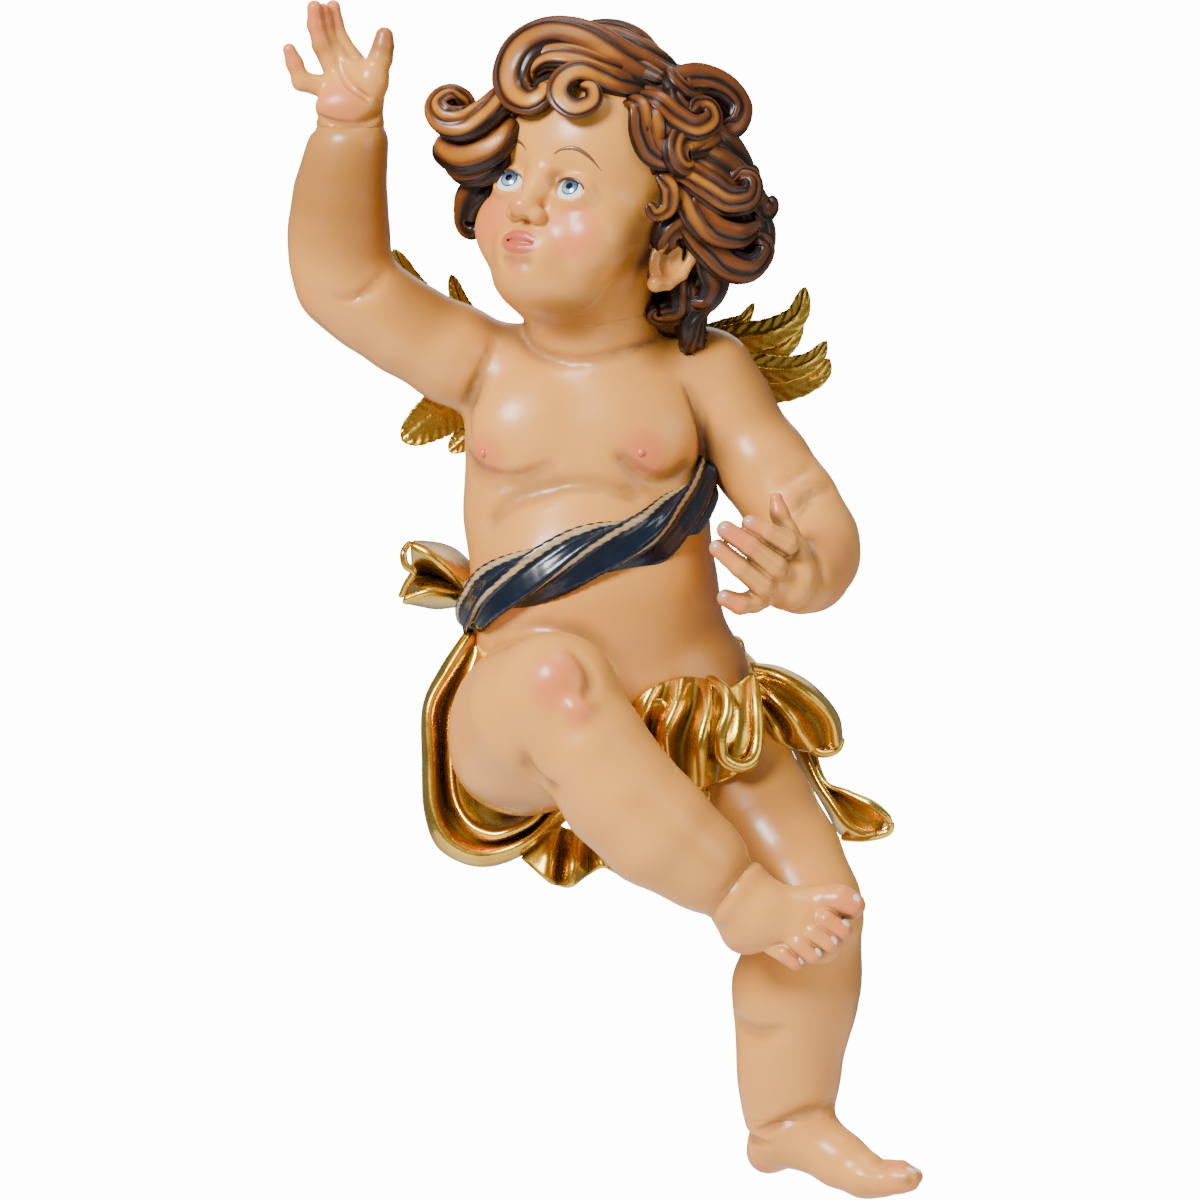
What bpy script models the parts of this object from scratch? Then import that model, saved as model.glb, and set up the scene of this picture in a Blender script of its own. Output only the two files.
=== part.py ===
"""Wooden angel: a flying putto carved in the round, painted and gilded, hung by a flat seat on its back.

Metres, +Z up, +Y into the wall. The figure with its hair, cloth and sash is one carved block. The two wings
are carved apart and sit on flats cut in the back.

The form is worked out in block units, 1/600 of HEIGHT each: X to the viewer's right, Z up, Y into the wall,
the wall at Y = 0, the middle of the height at Z = 0. at() takes a place on the front elevation, counted in
1/1200 of HEIGHT across and down from the upper left corner of a square round it, and a depth in block units.
"""
import math

import bpy
import numpy as np

HEIGHT = 0.600            # fingertip of the raised hand to the toe of the lower foot
WALL_SEAT_WIDTH = 0.034   # flat on the back that lies on the wall
WALL_SEAT_HEIGHT = 0.050
WALL_SEAT_SWELL = 0.022   # how far the body swells out to carry it, before the wall plane
WING_SEAT_DEPTH = 0.020   # from the wall to the flats that carry the wings
WING_GAP = 0.0003         # between a wing and its flat
WING_ROOT_WIDTH = 0.034
WING_ROOT_HEIGHT = 0.040
WING_WALL_GAP = 0.003     # between a wing and the wall
GRID_STEP = 2.0           # of the distance field, block units
VOXEL = 1.7               # of the merged skin, block units
RELAX = 3                 # rounds of smoothing on the merged skin
FIGURE_FACES = 7300       # triangles left in the figure
WING_FACES = 1150         # triangles left in a wing

UNIT = HEIGHT / 600
WALL_SEAT_AT = (-4, 0, 72)                          # block units
WING_ROOT_AT = (36, 41)                             # to each side of the seat's middle and above it
WING_FLAT = (60, 145)                               # lowest and highest edge of the wings' flats
WING_FLAT_REACH = 80
BOUNDS = (-165, -235, -305), (175, 14, 305)
HIP_BOUNDS = (-70, -150, -120), (100, 8, 12)
FAR_OUT = 400
LOCK_BODY = 0.82                                    # of a lock's half width, in the solid
LOCK_STEPS = 24                                     # places along a lock
WOOD_FLESH, WOOD_GOLD = (0.73, 0.45, 0.24), (0.69, 0.42, 0.10)

for thing in list(bpy.data.objects):
    bpy.data.objects.remove(thing)


FAR = 60.0


def smooth_min(a, b, soft):
    """The lesser of two distances, with the corner between them rounded over a width of soft."""
    if soft <= 0:
        return np.minimum(a, b)
    near = np.maximum(soft - np.abs(a - b), 0.0) / soft
    return np.minimum(a, b) - near * near * soft * 0.25


def unit(v):
    v = np.asarray(v, float)
    return v / np.linalg.norm(v)


def ball(c, r):
    c = np.asarray(c, float)

    def distance(x, y, z):
        return np.sqrt((x - c[0]) ** 2 + (y - c[1]) ** 2 + (z - c[2]) ** 2) - r

    return c - r, c + r, distance


def egg(c, radii, axes=np.eye(3)):
    """An ellipsoid. axes holds its three directions as rows."""
    c, radii, axes = np.asarray(c, float), np.asarray(radii, float), np.asarray(axes, float)
    reach = np.sqrt(((axes * radii[:, None]) ** 2).sum(0))

    def distance(x, y, z):
        x, y, z = x - c[0], y - c[1], z - c[2]
        local = [a[0] * x + a[1] * y + a[2] * z for a in axes]
        k0 = np.sqrt(sum((p / r) ** 2 for p, r in zip(local, radii)))
        k1 = np.sqrt(sum((p / (r * r)) ** 2 for p, r in zip(local, radii)))
        return k0 * (k0 - 1.0) / np.maximum(k1, 1e-6)

    return c - reach, c + reach, distance


def brick(c, half, r):
    c, half = np.asarray(c, float), np.asarray(half, float)
    def distance(x, y, z):
        qx, qy, qz = abs(x - c[0]) - half[0] + r, abs(y - c[1]) - half[1] + r, abs(z - c[2]) - half[2] + r
        out = np.sqrt(np.maximum(qx, 0) ** 2 + np.maximum(qy, 0) ** 2 + np.maximum(qz, 0) ** 2)
        return out + np.minimum(np.maximum(qx, np.maximum(qy, qz)), 0) - r
    return c - half, c + half, distance


def beyond(point, normal, centre=None, reach=400.0):
    """All that lies past a plane and within reach of a centre, the point unless another is given."""
    point, normal = np.asarray(point, float), unit(normal)
    centre = point if centre is None else np.asarray(centre, float)

    def distance(x, y, z):
        past = (x - point[0]) * normal[0] + (y - point[1]) * normal[1] + (z - point[2]) * normal[2]
        off = np.sqrt((x - centre[0]) ** 2 + (y - centre[1]) ** 2 + (z - centre[2]) ** 2) - reach
        return np.maximum(-past, off)

    return centre - reach, centre + reach, distance


def bone(a, b, ra, rb):
    """A round rod from a to b whose radius runs from ra to rb."""
    a, b = np.asarray(a, float), np.asarray(b, float)
    d = b - a
    dd = max(float(d @ d), 1e-9)

    def distance(x, y, z):
        x, y, z = x - a[0], y - a[1], z - a[2]
        t = np.clip((x * d[0] + y * d[1] + z * d[2]) / dd, 0.0, 1.0)
        return np.sqrt((x - t * d[0]) ** 2 + (y - t * d[1]) ** 2 + (z - t * d[2]) ** 2) - (ra + (rb - ra) * t)

    return np.minimum(a - ra, b - rb), np.maximum(a + ra, b + rb), distance


def ring(c, axis, big, small):
    """A torus about axis."""
    c, n = np.asarray(c, float), unit(axis)
    reach = big + small

    def distance(x, y, z):
        x, y, z = x - c[0], y - c[1], z - c[2]
        h = x * n[0] + y * n[1] + z * n[2]
        q = np.sqrt(np.maximum(x * x + y * y + z * z - h * h, 0.0))
        return np.sqrt((q - big) ** 2 + h * h) - small

    return c - reach, c + reach, distance


def curve(points, count):
    """Points along a Catmull-Rom curve through the given ones. Extra columns, such as radii, run along."""
    p = np.asarray(points, float)
    if len(p) == 2:
        t = np.linspace(0, 1, count)[:, None]
        return p[0] * (1 - t) + p[1] * t
    p = np.vstack([2 * p[0] - p[1], p, 2 * p[-1] - p[-2]])
    s = np.linspace(0, len(p) - 3 - 1e-9, count)
    i = s.astype(int)
    t = (s - i)[:, None]
    a, b, c, d = p[i], p[i + 1], p[i + 2], p[i + 3]
    return (2 * b + (c - a) * t + (2 * a - 5 * b + 4 * c - d) * t * t + (3 * b - a - 3 * c + d) * t ** 3) / 2


class Block:
    """A block as a grid of distances to the carved surface, negative inside it."""

    def __init__(self, low, high, step):
        self.low = np.asarray(low, float)
        self.step = step
        self.size = np.ceil((np.asarray(high, float) - self.low) / step).astype(int) + 1
        self.values = np.full(self.size, FAR, np.float32)

    def copy(self):
        other = Block.__new__(Block)
        other.low, other.step, other.size, other.values = self.low, self.step, self.size, self.values.copy()
        return other

    def window(self, low, high, margin):
        first = np.clip(np.floor((low - margin - self.low) / self.step).astype(int), 0, self.size)
        last = np.clip(np.ceil((high + margin - self.low) / self.step).astype(int) + 1, 0, self.size)
        if (last <= first).any():
            return None, None
        x, y, z = (self.low[i] + self.step * np.arange(first[i], last[i]) for i in range(3))
        at = tuple(slice(a, b) for a, b in zip(first, last))
        return at, (x[:, None, None], y[None, :, None], z[None, None, :])

    def add(self, shape, soft=3.0):
        at, grid = self.window(shape[0], shape[1], soft + 3 * self.step + 1.0)
        if at is not None:
            self.values[at] = smooth_min(self.values[at], shape[2](*grid), soft)

    def cut(self, shape, soft=2.0):
        at, grid = self.window(shape[0], shape[1], soft + 3 * self.step + 1.0)
        if at is not None:
            self.values[at] = -smooth_min(-self.values[at], shape[2](*grid), soft)

    def limb(self, nodes, soft=6.0, count=None):
        """Rods through nodes of x, y, z and radius."""
        p = np.asarray(nodes, float)
        if count:
            p = curve(p, count)
        for a, b in zip(p[:-1], p[1:]):
            self.add(bone(a[:3], b[:3], a[3], b[3]), soft)

    def groove(self, nodes, soft=2.0, count=24):
        """A groove along a smooth path of x, y, z and radius. Its rods are joined first, so it bites once."""
        p = curve(nodes, count)
        low, high = (p[:, :3] - p[:, 3:]).min(0), (p[:, :3] + p[:, 3:]).max(0)
        at, grid = self.window(low, high, soft + 3 * self.step + 1.0)
        if at is None:
            return
        d = None
        for a, b in zip(p[:-1], p[1:]):
            e = bone(a[:3], b[:3], a[3], b[3])[2](*grid)
            d = e if d is None else np.minimum(d, e)
        self.values[at] = -smooth_min(-self.values[at], d, soft)

    def sample(self, points):
        """The distance at each point, read between the grid's eight nearest values."""
        q = (np.asarray(points, float) - self.low) / self.step
        i = np.clip(q.astype(int), 0, self.size - 2)
        f = np.clip(q - i, 0, 1)
        v = 0
        for dx in (0, 1):
            for dy in (0, 1):
                for dz in (0, 1):
                    w = np.abs(1 - dx - f[:, 0]) * np.abs(1 - dy - f[:, 1]) * np.abs(1 - dz - f[:, 2])
                    v = v + w * self.values[i[:, 0] + dx, i[:, 1] + dy, i[:, 2] + dz]
        return v

    def gradient(self, points, reach=None):
        e = reach or self.step
        g = np.stack([self.sample(points + e * d) - self.sample(points - e * d) for d in np.eye(3)], 1)
        return g / np.maximum(np.linalg.norm(g, axis=1, keepdims=True), 1e-9)

    def skin(self):
        """Vertices and quads of the surface: one vertex in each cell that it crosses, at the mean of its
        crossings of the cell's edges, and one quad round each edge of the grid that it crosses."""
        inside = self.values < 0
        nx, ny, nz = (int(n) for n in self.size)
        stride = np.array([ny * nz, nz, 1])
        cells, spots, flips = [], [], []
        for axis in range(3):
            a = [slice(None)] * 3
            b = [slice(None)] * 3
            a[axis], b[axis] = slice(None, -1), slice(1, None)
            at = np.argwhere(inside[tuple(a)] != inside[tuple(b)])
            at = at[(at > 0).all(1) & (at < self.size - 2).all(1)]
            here = self.values[at[:, 0], at[:, 1], at[:, 2]]
            beyond = at.copy()
            beyond[:, axis] += 1
            there = self.values[beyond[:, 0], beyond[:, 1], beyond[:, 2]]
            spot = at.astype(float)
            spot[:, axis] += here / (here - there)
            u, v = stride[(axis + 1) % 3], stride[(axis + 2) % 3]
            flat = at @ stride
            cells.append(np.stack([flat, flat - u, flat - u - v, flat - v], 1))
            spots.append(spot)
            flips.append(here < 0)
        cells, spots, flips = np.vstack(cells), np.vstack(spots), np.concatenate(flips)
        names, index = np.unique(cells, return_inverse=True)
        index = index.reshape(-1)
        counts = np.bincount(index)
        verts = np.stack([np.bincount(index, np.repeat(spots[:, i], 4)) / counts for i in range(3)], 1)
        quads = index.reshape(-1, 4)
        quads = np.where(flips[:, None], quads, quads[:, ::-1])
        return self.low + verts * self.step, quads


def at(px, py, y):
    """Block point of a place on the front elevation, at depth y."""
    return np.array([(px - 600) / 2, y, (600 - py) / 2], float)


def even(points, count):
    """A smooth path through the points, its steps even."""
    fine = curve(np.asarray(points, float), count * 4)
    run = np.r_[0, np.cumsum(np.linalg.norm(np.diff(fine[:, :3], axis=0), axis=1))]
    s = np.linspace(0, run[-1], count)
    return np.stack([np.interp(s, run, fine[:, k]) for k in range(fine.shape[1])], axis=1)


def rows_unit(v):
    return v / np.maximum(np.linalg.norm(v, axis=-1, keepdims=True), 1e-9)


def frame(path, out):
    t = rows_unit(np.gradient(path, axis=0))
    out = np.broadcast_to(np.asarray(out, float), path.shape)
    n = rows_unit(out - (out * t).sum(1, keepdims=True) * t)
    return t, n, np.cross(t, n)


def curled(points, out, size, turns, sign, lift=0.0, steps=14):
    """The points with a spiral at their end, in the plane across out."""
    points = np.asarray(points, float)
    t = unit(points[-1] - points[-2])
    out = np.asarray(out, float)
    n = unit(out - out @ t * t)
    side = np.cross(t, n) * sign
    whole = turns * 2 * math.pi
    p, more = points[-1].copy(), []
    for k in range(1, int(steps * turns) + 1):
        angle = whole * (k - 0.5) / int(steps * turns)
        radius = size * (1 - 0.78 * angle / whole)
        p = p + (math.cos(angle) * t + math.sin(angle) * side) * radius * whole / int(steps * turns)
        p = p + n * lift * whole / int(steps * turns) / (2 * math.pi)
        more.append(p.copy())
    return np.vstack([points, more])


def sweep(path, half, thick, out, cols, fold=None):
    """Closed surface: P(s, a) = path(s) + B half cos a + N (thick sin a + fold(s, cos a))."""
    rows = len(path)
    s = np.linspace(0, 1, rows)
    half = np.broadcast_to(half, (rows,))
    thick = np.broadcast_to(thick, (rows,))
    t, n, b = frame(path, out)
    a = np.arange(cols) * (2 * math.pi / cols)
    ca, sa = np.cos(a), np.sin(a)
    across = half[:, None] * ca[None]
    up = thick[:, None] * sa[None]
    if fold is not None:
        up = up + fold(s[:, None], ca[None])
    ringed = path[:, None] + b[:, None] * across[..., None] + n[:, None] * up[..., None]
    verts = np.vstack([ringed.reshape(-1, 3), ringed[0].mean(0), ringed[-1].mean(0)])
    i = np.arange(rows - 1)[:, None] * cols
    j = np.arange(cols)[None]
    k = (j + 1) % cols
    quads = np.stack([i + j, i + cols + j, i + cols + k, i + k], axis=-1).reshape(-1, 4)
    j, k = j[0], k[0]
    low, high = rows * cols, rows * cols + 1
    tris = np.vstack([np.stack([np.full(cols, low), j, k], 1),
                      np.stack([np.full(cols, high), (rows - 1) * cols + k, (rows - 1) * cols + j], 1)])
    return verts, quads, tris


def loop(path, half, thick, out, cols, shape=None):
    """Closed ring surface along a closed path."""
    rows = len(path)
    t = rows_unit(np.roll(path, -1, 0) - np.roll(path, 1, 0))
    n = rows_unit(out - (out * t).sum(1, keepdims=True) * t)
    b = np.cross(t, n)
    a = np.arange(cols) * (2 * math.pi / cols)
    s = np.linspace(0, 1, rows, endpoint=False)[:, None]
    scale = shape(s, a[None]) if shape else np.ones((rows, cols))
    ringed = (path[:, None] + b[:, None] * (half * np.cos(a)[None] * scale)[..., None]
              + n[:, None] * (thick * np.sin(a)[None] * scale)[..., None])
    i = np.arange(rows)[:, None]
    j = np.arange(cols)[None]
    k, m = (j + 1) % cols, (i + 1) % rows
    quads = np.stack([i * cols + j, m * cols + j, m * cols + k, i * cols + k], axis=-1).reshape(-1, 4)
    return ringed.reshape(-1, 3), quads, np.zeros((0, 3), int)


def merged(shells):
    verts, quads, tris, base = [], [], [], 0
    for v, q, t in shells:
        verts.append(v); quads.append(q + base); tris.append(t + base); base += len(v)
    return np.vstack(verts), np.vstack(quads), np.vstack(tris)


def ends(s, start=0.5, finish=0.3, peak=0.4, round_=0.06):
    """Width along a strip: from start to one at the peak and to finish, rounded off at both ends."""
    w = np.where(s < peak, start + (1 - start) * np.sin(np.clip(s / peak, 0, 1) * math.pi / 2),
                 finish + (1 - finish) * np.cos(np.clip((s - peak) / (1 - peak), 0, 1) * math.pi / 2))
    cap = np.sqrt(np.clip(1 - (1 - np.clip(np.minimum(s, 1 - s) / round_, 0, 1)) ** 2, 0.0016, 1))
    return w * cap


# head frame
def head_axes(yaw=32.0, pitch=17.5, roll=8.5):
    y, p, r = (math.radians(a) for a in (yaw, pitch, roll))
    f = np.array([-math.sin(y) * math.cos(p), -math.cos(y) * math.cos(p), math.sin(p)])
    s0 = np.array([math.cos(y), -math.sin(y), 0.0])
    u0 = np.cross(f, s0)
    s = s0 * math.cos(r) - u0 * math.sin(r)
    u = np.cross(f, s)
    return np.stack([s, u, f])

HEAD = np.array([-2.0, -94.0, 216.0])
AXES = head_axes()


def H(s, u, f):
    return HEAD + np.array([s, u, f], float) @ AXES


def on_front(b, places):
    """Block points where the view line of each front place meets the wood, with the radius kept."""
    depth = np.arange(-200.0, -40.0, 1.0)
    out = []
    for px, py, r in places:
        line = np.stack([np.full(len(depth), (px - 600) / 2), depth,
            np.full(len(depth), (600 - py) / 2)], 1)
        inside = b.sample(line) < 0
        out.append((line[0, 0], depth[np.argmax(inside)] if inside.any() else -80.0, line[0, 2], r))
    return out


def torso(b):
    b.add(egg((-7, -68, 86), (61, 42, 52)), 0)
    b.add(bone((-42, -66, 113), (44, -66, 111), 25, 25), 14)      # shoulder girdle
    b.add(egg((-7, -72, 44), (62, 45, 50)), 18)
    b.add(egg((-2, -76, 4), (62, 48, 46)), 18)
    b.add(egg((14, -72, -38), (61, 45, 42)), 16)
    b.add(egg((18, -64, -60), (54, 42, 34)), 12)
    b.add(egg((-36, -94, 84), (27, 17, 25)), 16)
    b.add(egg((17, -95, 84), (30, 17, 25)), 16)
    b.add(egg((-6, -106, 2), (44, 22, 38)), 24)
    b.add(egg((-31, -74, -20), (31, 34, 30)), 14)
    for side in (-1, 1):
        b.add(egg((16 + side * 26, -48, -62), (28, 26, 30)), 10)      # seat of the body
        b.add(egg((-4 + side * 34, -33, 112), (26, 17, 28)), 10)      # shoulder blades
    for crease, soft in CHEST_CREASES:
        b.groove(on_front(b, crease), soft)
    b.groove([(-8, -20, 110, 2.0), (-6, -22, 60, 3.0), (4, -24, 0, 2.0)], 12)
    b.groove([(17, -24, -44, 2.0), (18, -22, -64, 4.0), (20, -30, -88, 3.0)], 6)
    # neck
    b.add(bone((0, -72, 112), (-4, -84, 160), 33, 32), 8)
    b.groove(on_front(b, ((522, 334, 0.4), (536, 350, 1.4), (562, 360, 1.8), (592, 361, 1.8),
        (624, 352, 1.6), (656, 338, 0.6))), 4)

# creases under the breast and below it, as front places with radii, and how soft each is
CHEST_CREASES = (
    (((470, 462, 0.8), (482, 474, 2.0), (500, 481, 2.6), (522, 480, 2.2), (548, 468, 0.8)), 8),
    (((622, 460, 0.8), (640, 476, 2.2), (656, 484, 2.6), (672, 480, 2.0), (686, 466, 0.8)), 8),
    (((492, 520, 0.6), (512, 502, 1.4), (540, 492, 1.5), (572, 484, 1.1), (604, 486, 0.8),
     (634, 496, 0.4)), 8),
    (((578, 410, 0.1), (580, 432, 0.3), (584, 456, 0.3), (588, 476, 0.1)), 10),
)


def right_arm(b):
    b.limb([(-50, -68, 113, 24), (-74, -73, 124, 24), (-98, -76, 137, 22.5), (-116, -79, 149, 22.5),
        (-129, -81, 160, 22.5)], 8)
    b.limb([(-129, -81, 160, 22.5), (-131, -84, 174, 23.5), (-131, -88, 188, 23.4),
        (-130, -93, 205, 21.5), (-127, -98, 222, 18.8),
            (-124.5, -101, 232, 18.3)], 8)
    b.add(bone((-125, -102, 236), (-124, -104, 246), 15.5, 14.5), 3)

    b.groove(on_front(b, ((494, 344, 0.5), (484, 366, 1.4), (474, 390, 1.6), (469, 414, 1.4),
        (470, 440, 0.5))), 5)


def right_hand(b):
    b.add(egg((-124, -105, 249), (15.5, 10.5, 12)), 5)
    b.add(egg((-129, -111, 246), (13, 7.5, 9.5)), 4)                          # heel of the palm
    b.add(egg((-121, -105, 259), (15, 8.5, 11)), 5)
    b.add(egg((-114, -111, 259), (9.0, 8.5, 10.5)), 3)                       # ball of the thumb
    b.limb([(-113, -110, 262, 7.0), (-109.5, -112, 270, 6.0), (-108, -113, 276, 5.2),
        (-107.5, -113, 281, 4.6)], 2)
    b.limb([(-136, -103, 256, 6), (-149, -106, 259, 4.6), (-152.5, -108, 268, 4.0),
        (-155, -110, 274.5, 3.3)], 2.5)   # little
    b.limb([(-131, -103, 262, 6), (-139, -105, 277, 4.6), (-142, -108, 287, 4.1),
        (-142.5, -111, 295.5, 3.7)], 2)     # ring
    b.limb([(-127, -104, 264, 6), (-136, -101, 279, 4.7), (-138, -103, 289, 4.1),
        (-138.5, -105, 294.5, 3.6)], 2)
    b.limb([(-121, -100, 266, 6), (-130, -97, 279, 4.9), (-133, -97, 289, 4.3),
        (-133.5, -99, 296.5, 3.7)], 2)   # index
    b.groove(on_front(b, ((338, 58, 0.6), (343, 74, 1.6), (354, 90, 1.8), (368, 100, 0.6))), 3)
    b.groove(on_front(b, ((322, 119, 0.8), (338, 126, 1.8), (358, 127, 2.0), (374, 119, 1.6),
        (383, 109, 0.6))), 3)


def left_arm(b):
    b.limb([(54, -68, 112, 25), (62, -70, 100, 22), (68, -73, 90, 20.5), (82, -77, 68, 22.5),
        (96, -82, 48, 22.5), (106, -88, 30, 22.5)], 8)
    b.limb([(106, -88, 30, 22.5), (106, -100, 22, 22.5), (103, -116, 15, 20.5), (99, -130, 11, 16.5),
        (96, -136, 10, 15)], 7)
    b.groove(on_front(b, ((688, 388, 0.8), (694, 404, 2.0), (700, 424, 2.4), (704, 448, 1.6))), 4)
    b.groove(on_front(b, ((790, 528, 0.6), (798, 510, 1.5), (808, 498, 1.8), (820, 491, 1.0),
        (830, 489, 0.3))), 5)
    b.groove(on_front(b, ((780, 488, 0.4), (790, 480, 1.0), (802, 472, 1.0), (812, 466, 0.4))), 4)


def left_hand(b):
    b.add(egg((92, -144, 11), (16, 10, 16), unit_rows((0.82, -0.5, 0.1), (0.5, 0.82, 0),
        (-0.1, 0, 1))), 4)
    b.add(egg((83, -149, 14), (13, 8.5, 14), unit_rows((0.82, -0.5, 0.1), (0.5, 0.82, 0),
        (-0.1, 0, 1))), 4)
    b.limb([(97, -147, 24, 7), (92, -150, 34, 5.4), (88.5, -152, 43, 4.3), (87, -152, 50, 3.2)],
        3)      # thumb
    b.limb([(88, -152, 26, 7), (92, -158, 28, 6.0), (82, -163, 33.5, 5.2), (74, -164, 37.5, 4.5)],
        1.2)         # index
    b.limb([(83, -153, 18, 7), (86, -160, 17, 6.2), (74, -166, 26.5, 5.2), (62, -166, 34.5, 4.7)], 1.2)
    b.limb([(80, -152, 10, 7), (80, -159, 7.5, 6.0), (69, -165, 16, 5.0), (58, -165, 25.5, 4.4)], 1.2)
    b.limb([(80, -148, 2, 6.5), (76, -154, -0.5, 5.8), (69, -159, -2, 5.2), (62, -161, 1, 4.5)], 1.6)


def unit_rows(*rows):
    return np.stack([unit(r) for r in rows])


def right_leg(b):
    b.limb([(-14, -84, -54, 38), (-28, -108, -61, 40), (-32, -130, -62, 40), (-28, -152, -55, 35),
        (-22, -166, -46, 30)], 10)
    b.add(ball((-42, -120, -75), 31), 10)               # underside of the thigh
    b.add(egg((-22, -185, -39), (13.5, 12.5, 14)), 5)       # kneecap
    b.limb([(-20, -166, -48, 27), (-4, -172, -74, 27), (10, -172, -95, 28), (28, -170, -113, 27.5),
        (48, -166, -128, 22.5),
            (63, -163, -141, 18.5)], 8)
    b.add(egg((-11, -193, -54), (9, 8, 8.5)), 4)
    b.groove(on_front(b, ((574, 652, 0.5), (588, 668, 1.8), (592, 684, 2.0), (586, 694, 1.2))), 5)
    b.groove(on_front(b, ((526, 752, 0.8), (532, 768, 2.6), (546, 780, 2.6), (558, 784, 0.8))), 6)
    b.limb([(70, -163, -147, 17.5), (82, -166, -155, 16), (98, -168, -159, 14.5)], 5)
    b.add(ball((72, -158, -162), 13), 6)
    b.add(egg((104, -168, -160), (15, 11, 20), unit_rows((1, 0, 0.5), (0, 1, 0), (-0.5, 0, 1))), 6)


def right_toes(b):
    b.limb([(110, -171, -148, 8.2), (118, -173, -148, 7.6), (123.5, -174, -150, 7.0)], 3)
    b.limb([(104, -172, -153, 5.8), (111, -179, -157, 5.0), (119, -179, -162, 4.7)], 1.0)
    b.limb([(97, -172, -159, 5.6), (104.5, -179, -163, 4.9), (112.5, -179, -168.5, 4.6)], 1.0)
    b.limb([(91, -171, -164.5, 5.4), (97.5, -178, -168.5, 4.7), (104.5, -178, -174.5, 4.4)], 1.0)
    b.limb([(85, -169, -170, 5.0), (90.5, -175, -173.5, 4.4), (96, -175, -178, 4.0)], 1.0)


def left_leg(b):
    b.limb([(46, -74, -64, 36), (62, -82, -84, 33), (78, -92, -106, 28.5), (93, -104, -128, 26),
        (104, -114, -150, 24), (107, -116, -160, 22)], 9)
    b.limb([(107, -114, -160, 22), (102, -106, -180, 27), (98, -102, -194, 30.5),
        (97, -99, -208, 27.5), (95, -97, -225, 24.8),
            (94.5, -94, -240, 23.6), (94, -92, -254, 22.6)], 8)
    b.add(bone((94, -91, -258), (93, -91, -266), 19.5, 18.5), 4)
    b.add(ball((84.5, -84, -277), 11), 6)
    b.limb([(95, -91, -262, 17.5), (106, -97, -270, 15), (119, -104, -279, 13.2),
        (131, -111, -286, 12)], 6)
    b.add(egg((136, -113, -289), (15, 14, 8.5), unit_rows((0.85, -0.4, -0.2), (0.4, 0.9, 0),
        (0.2, 0, 1))), 5)
    b.groove(on_front(b, ((758, 1131, 0.6), (770, 1126, 1.8), (786, 1119, 2.6), (804, 1111, 2.6),
        (822, 1105, 1.8), (834, 1101, 0.8))), 4)
    b.groove(on_front(b, ((742, 1126, 0.6), (748, 1136, 1.6), (758, 1142, 1.4), (768, 1144, 0.4))), 4)
    b.groove(on_front(b, ((736, 1018, 0.8), (746, 1027, 2.0), (762, 1031, 1.8), (780, 1027, 0.5))), 6)


def left_toes(b):
    b.limb([(141, -120, -289, 7.2), (148, -124, -288, 6.9), (153, -127, -288, 6.2)], 3)
    b.limb([(143, -112, -284, 5.4), (150, -116, -284, 5.0), (156.5, -119, -287, 4.4)], 1.2)
    b.limb([(143, -105, -285, 5.2), (149, -108, -285, 4.8), (155, -111, -288, 4.2)], 1.2)
    b.limb([(141, -99, -286, 5.0), (147, -102, -286, 4.5), (152, -105, -289, 4.0)], 1.2)
    b.limb([(138, -94, -287, 4.8), (143, -97, -287, 4.2), (147, -100, -290, 3.8)], 1.2)

EYE = np.array([18.5, -25.0, 34.0])      # middle of an eyeball in the head's frame, and its radius
EYE_R = 10.5


def head(b):
    b.add(egg(H(0, 2, -2), (49, 49, 52), AXES), 0)
    b.add(egg(H(0, -32, 1), (40, 34, 38), AXES), 14)
    b.add(egg(H(0, 10, 24), (39, 31, 26), AXES), 12)
    for side in (-1, 1):
        b.add(egg(H(side * 22, -42, 20), (21, 21, 19.5), AXES), 12)
    b.add(egg(H(0, -61, 29), (14, 11, 12), AXES), 12)
    b.add(egg(H(0, -69, 6), (27, 14, 28), AXES), 18)
    for side in (-1, 1):
        b.cut(egg(H(side * 19, -24, 55), (14, 8.5, 11.5), AXES), 10)


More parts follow.
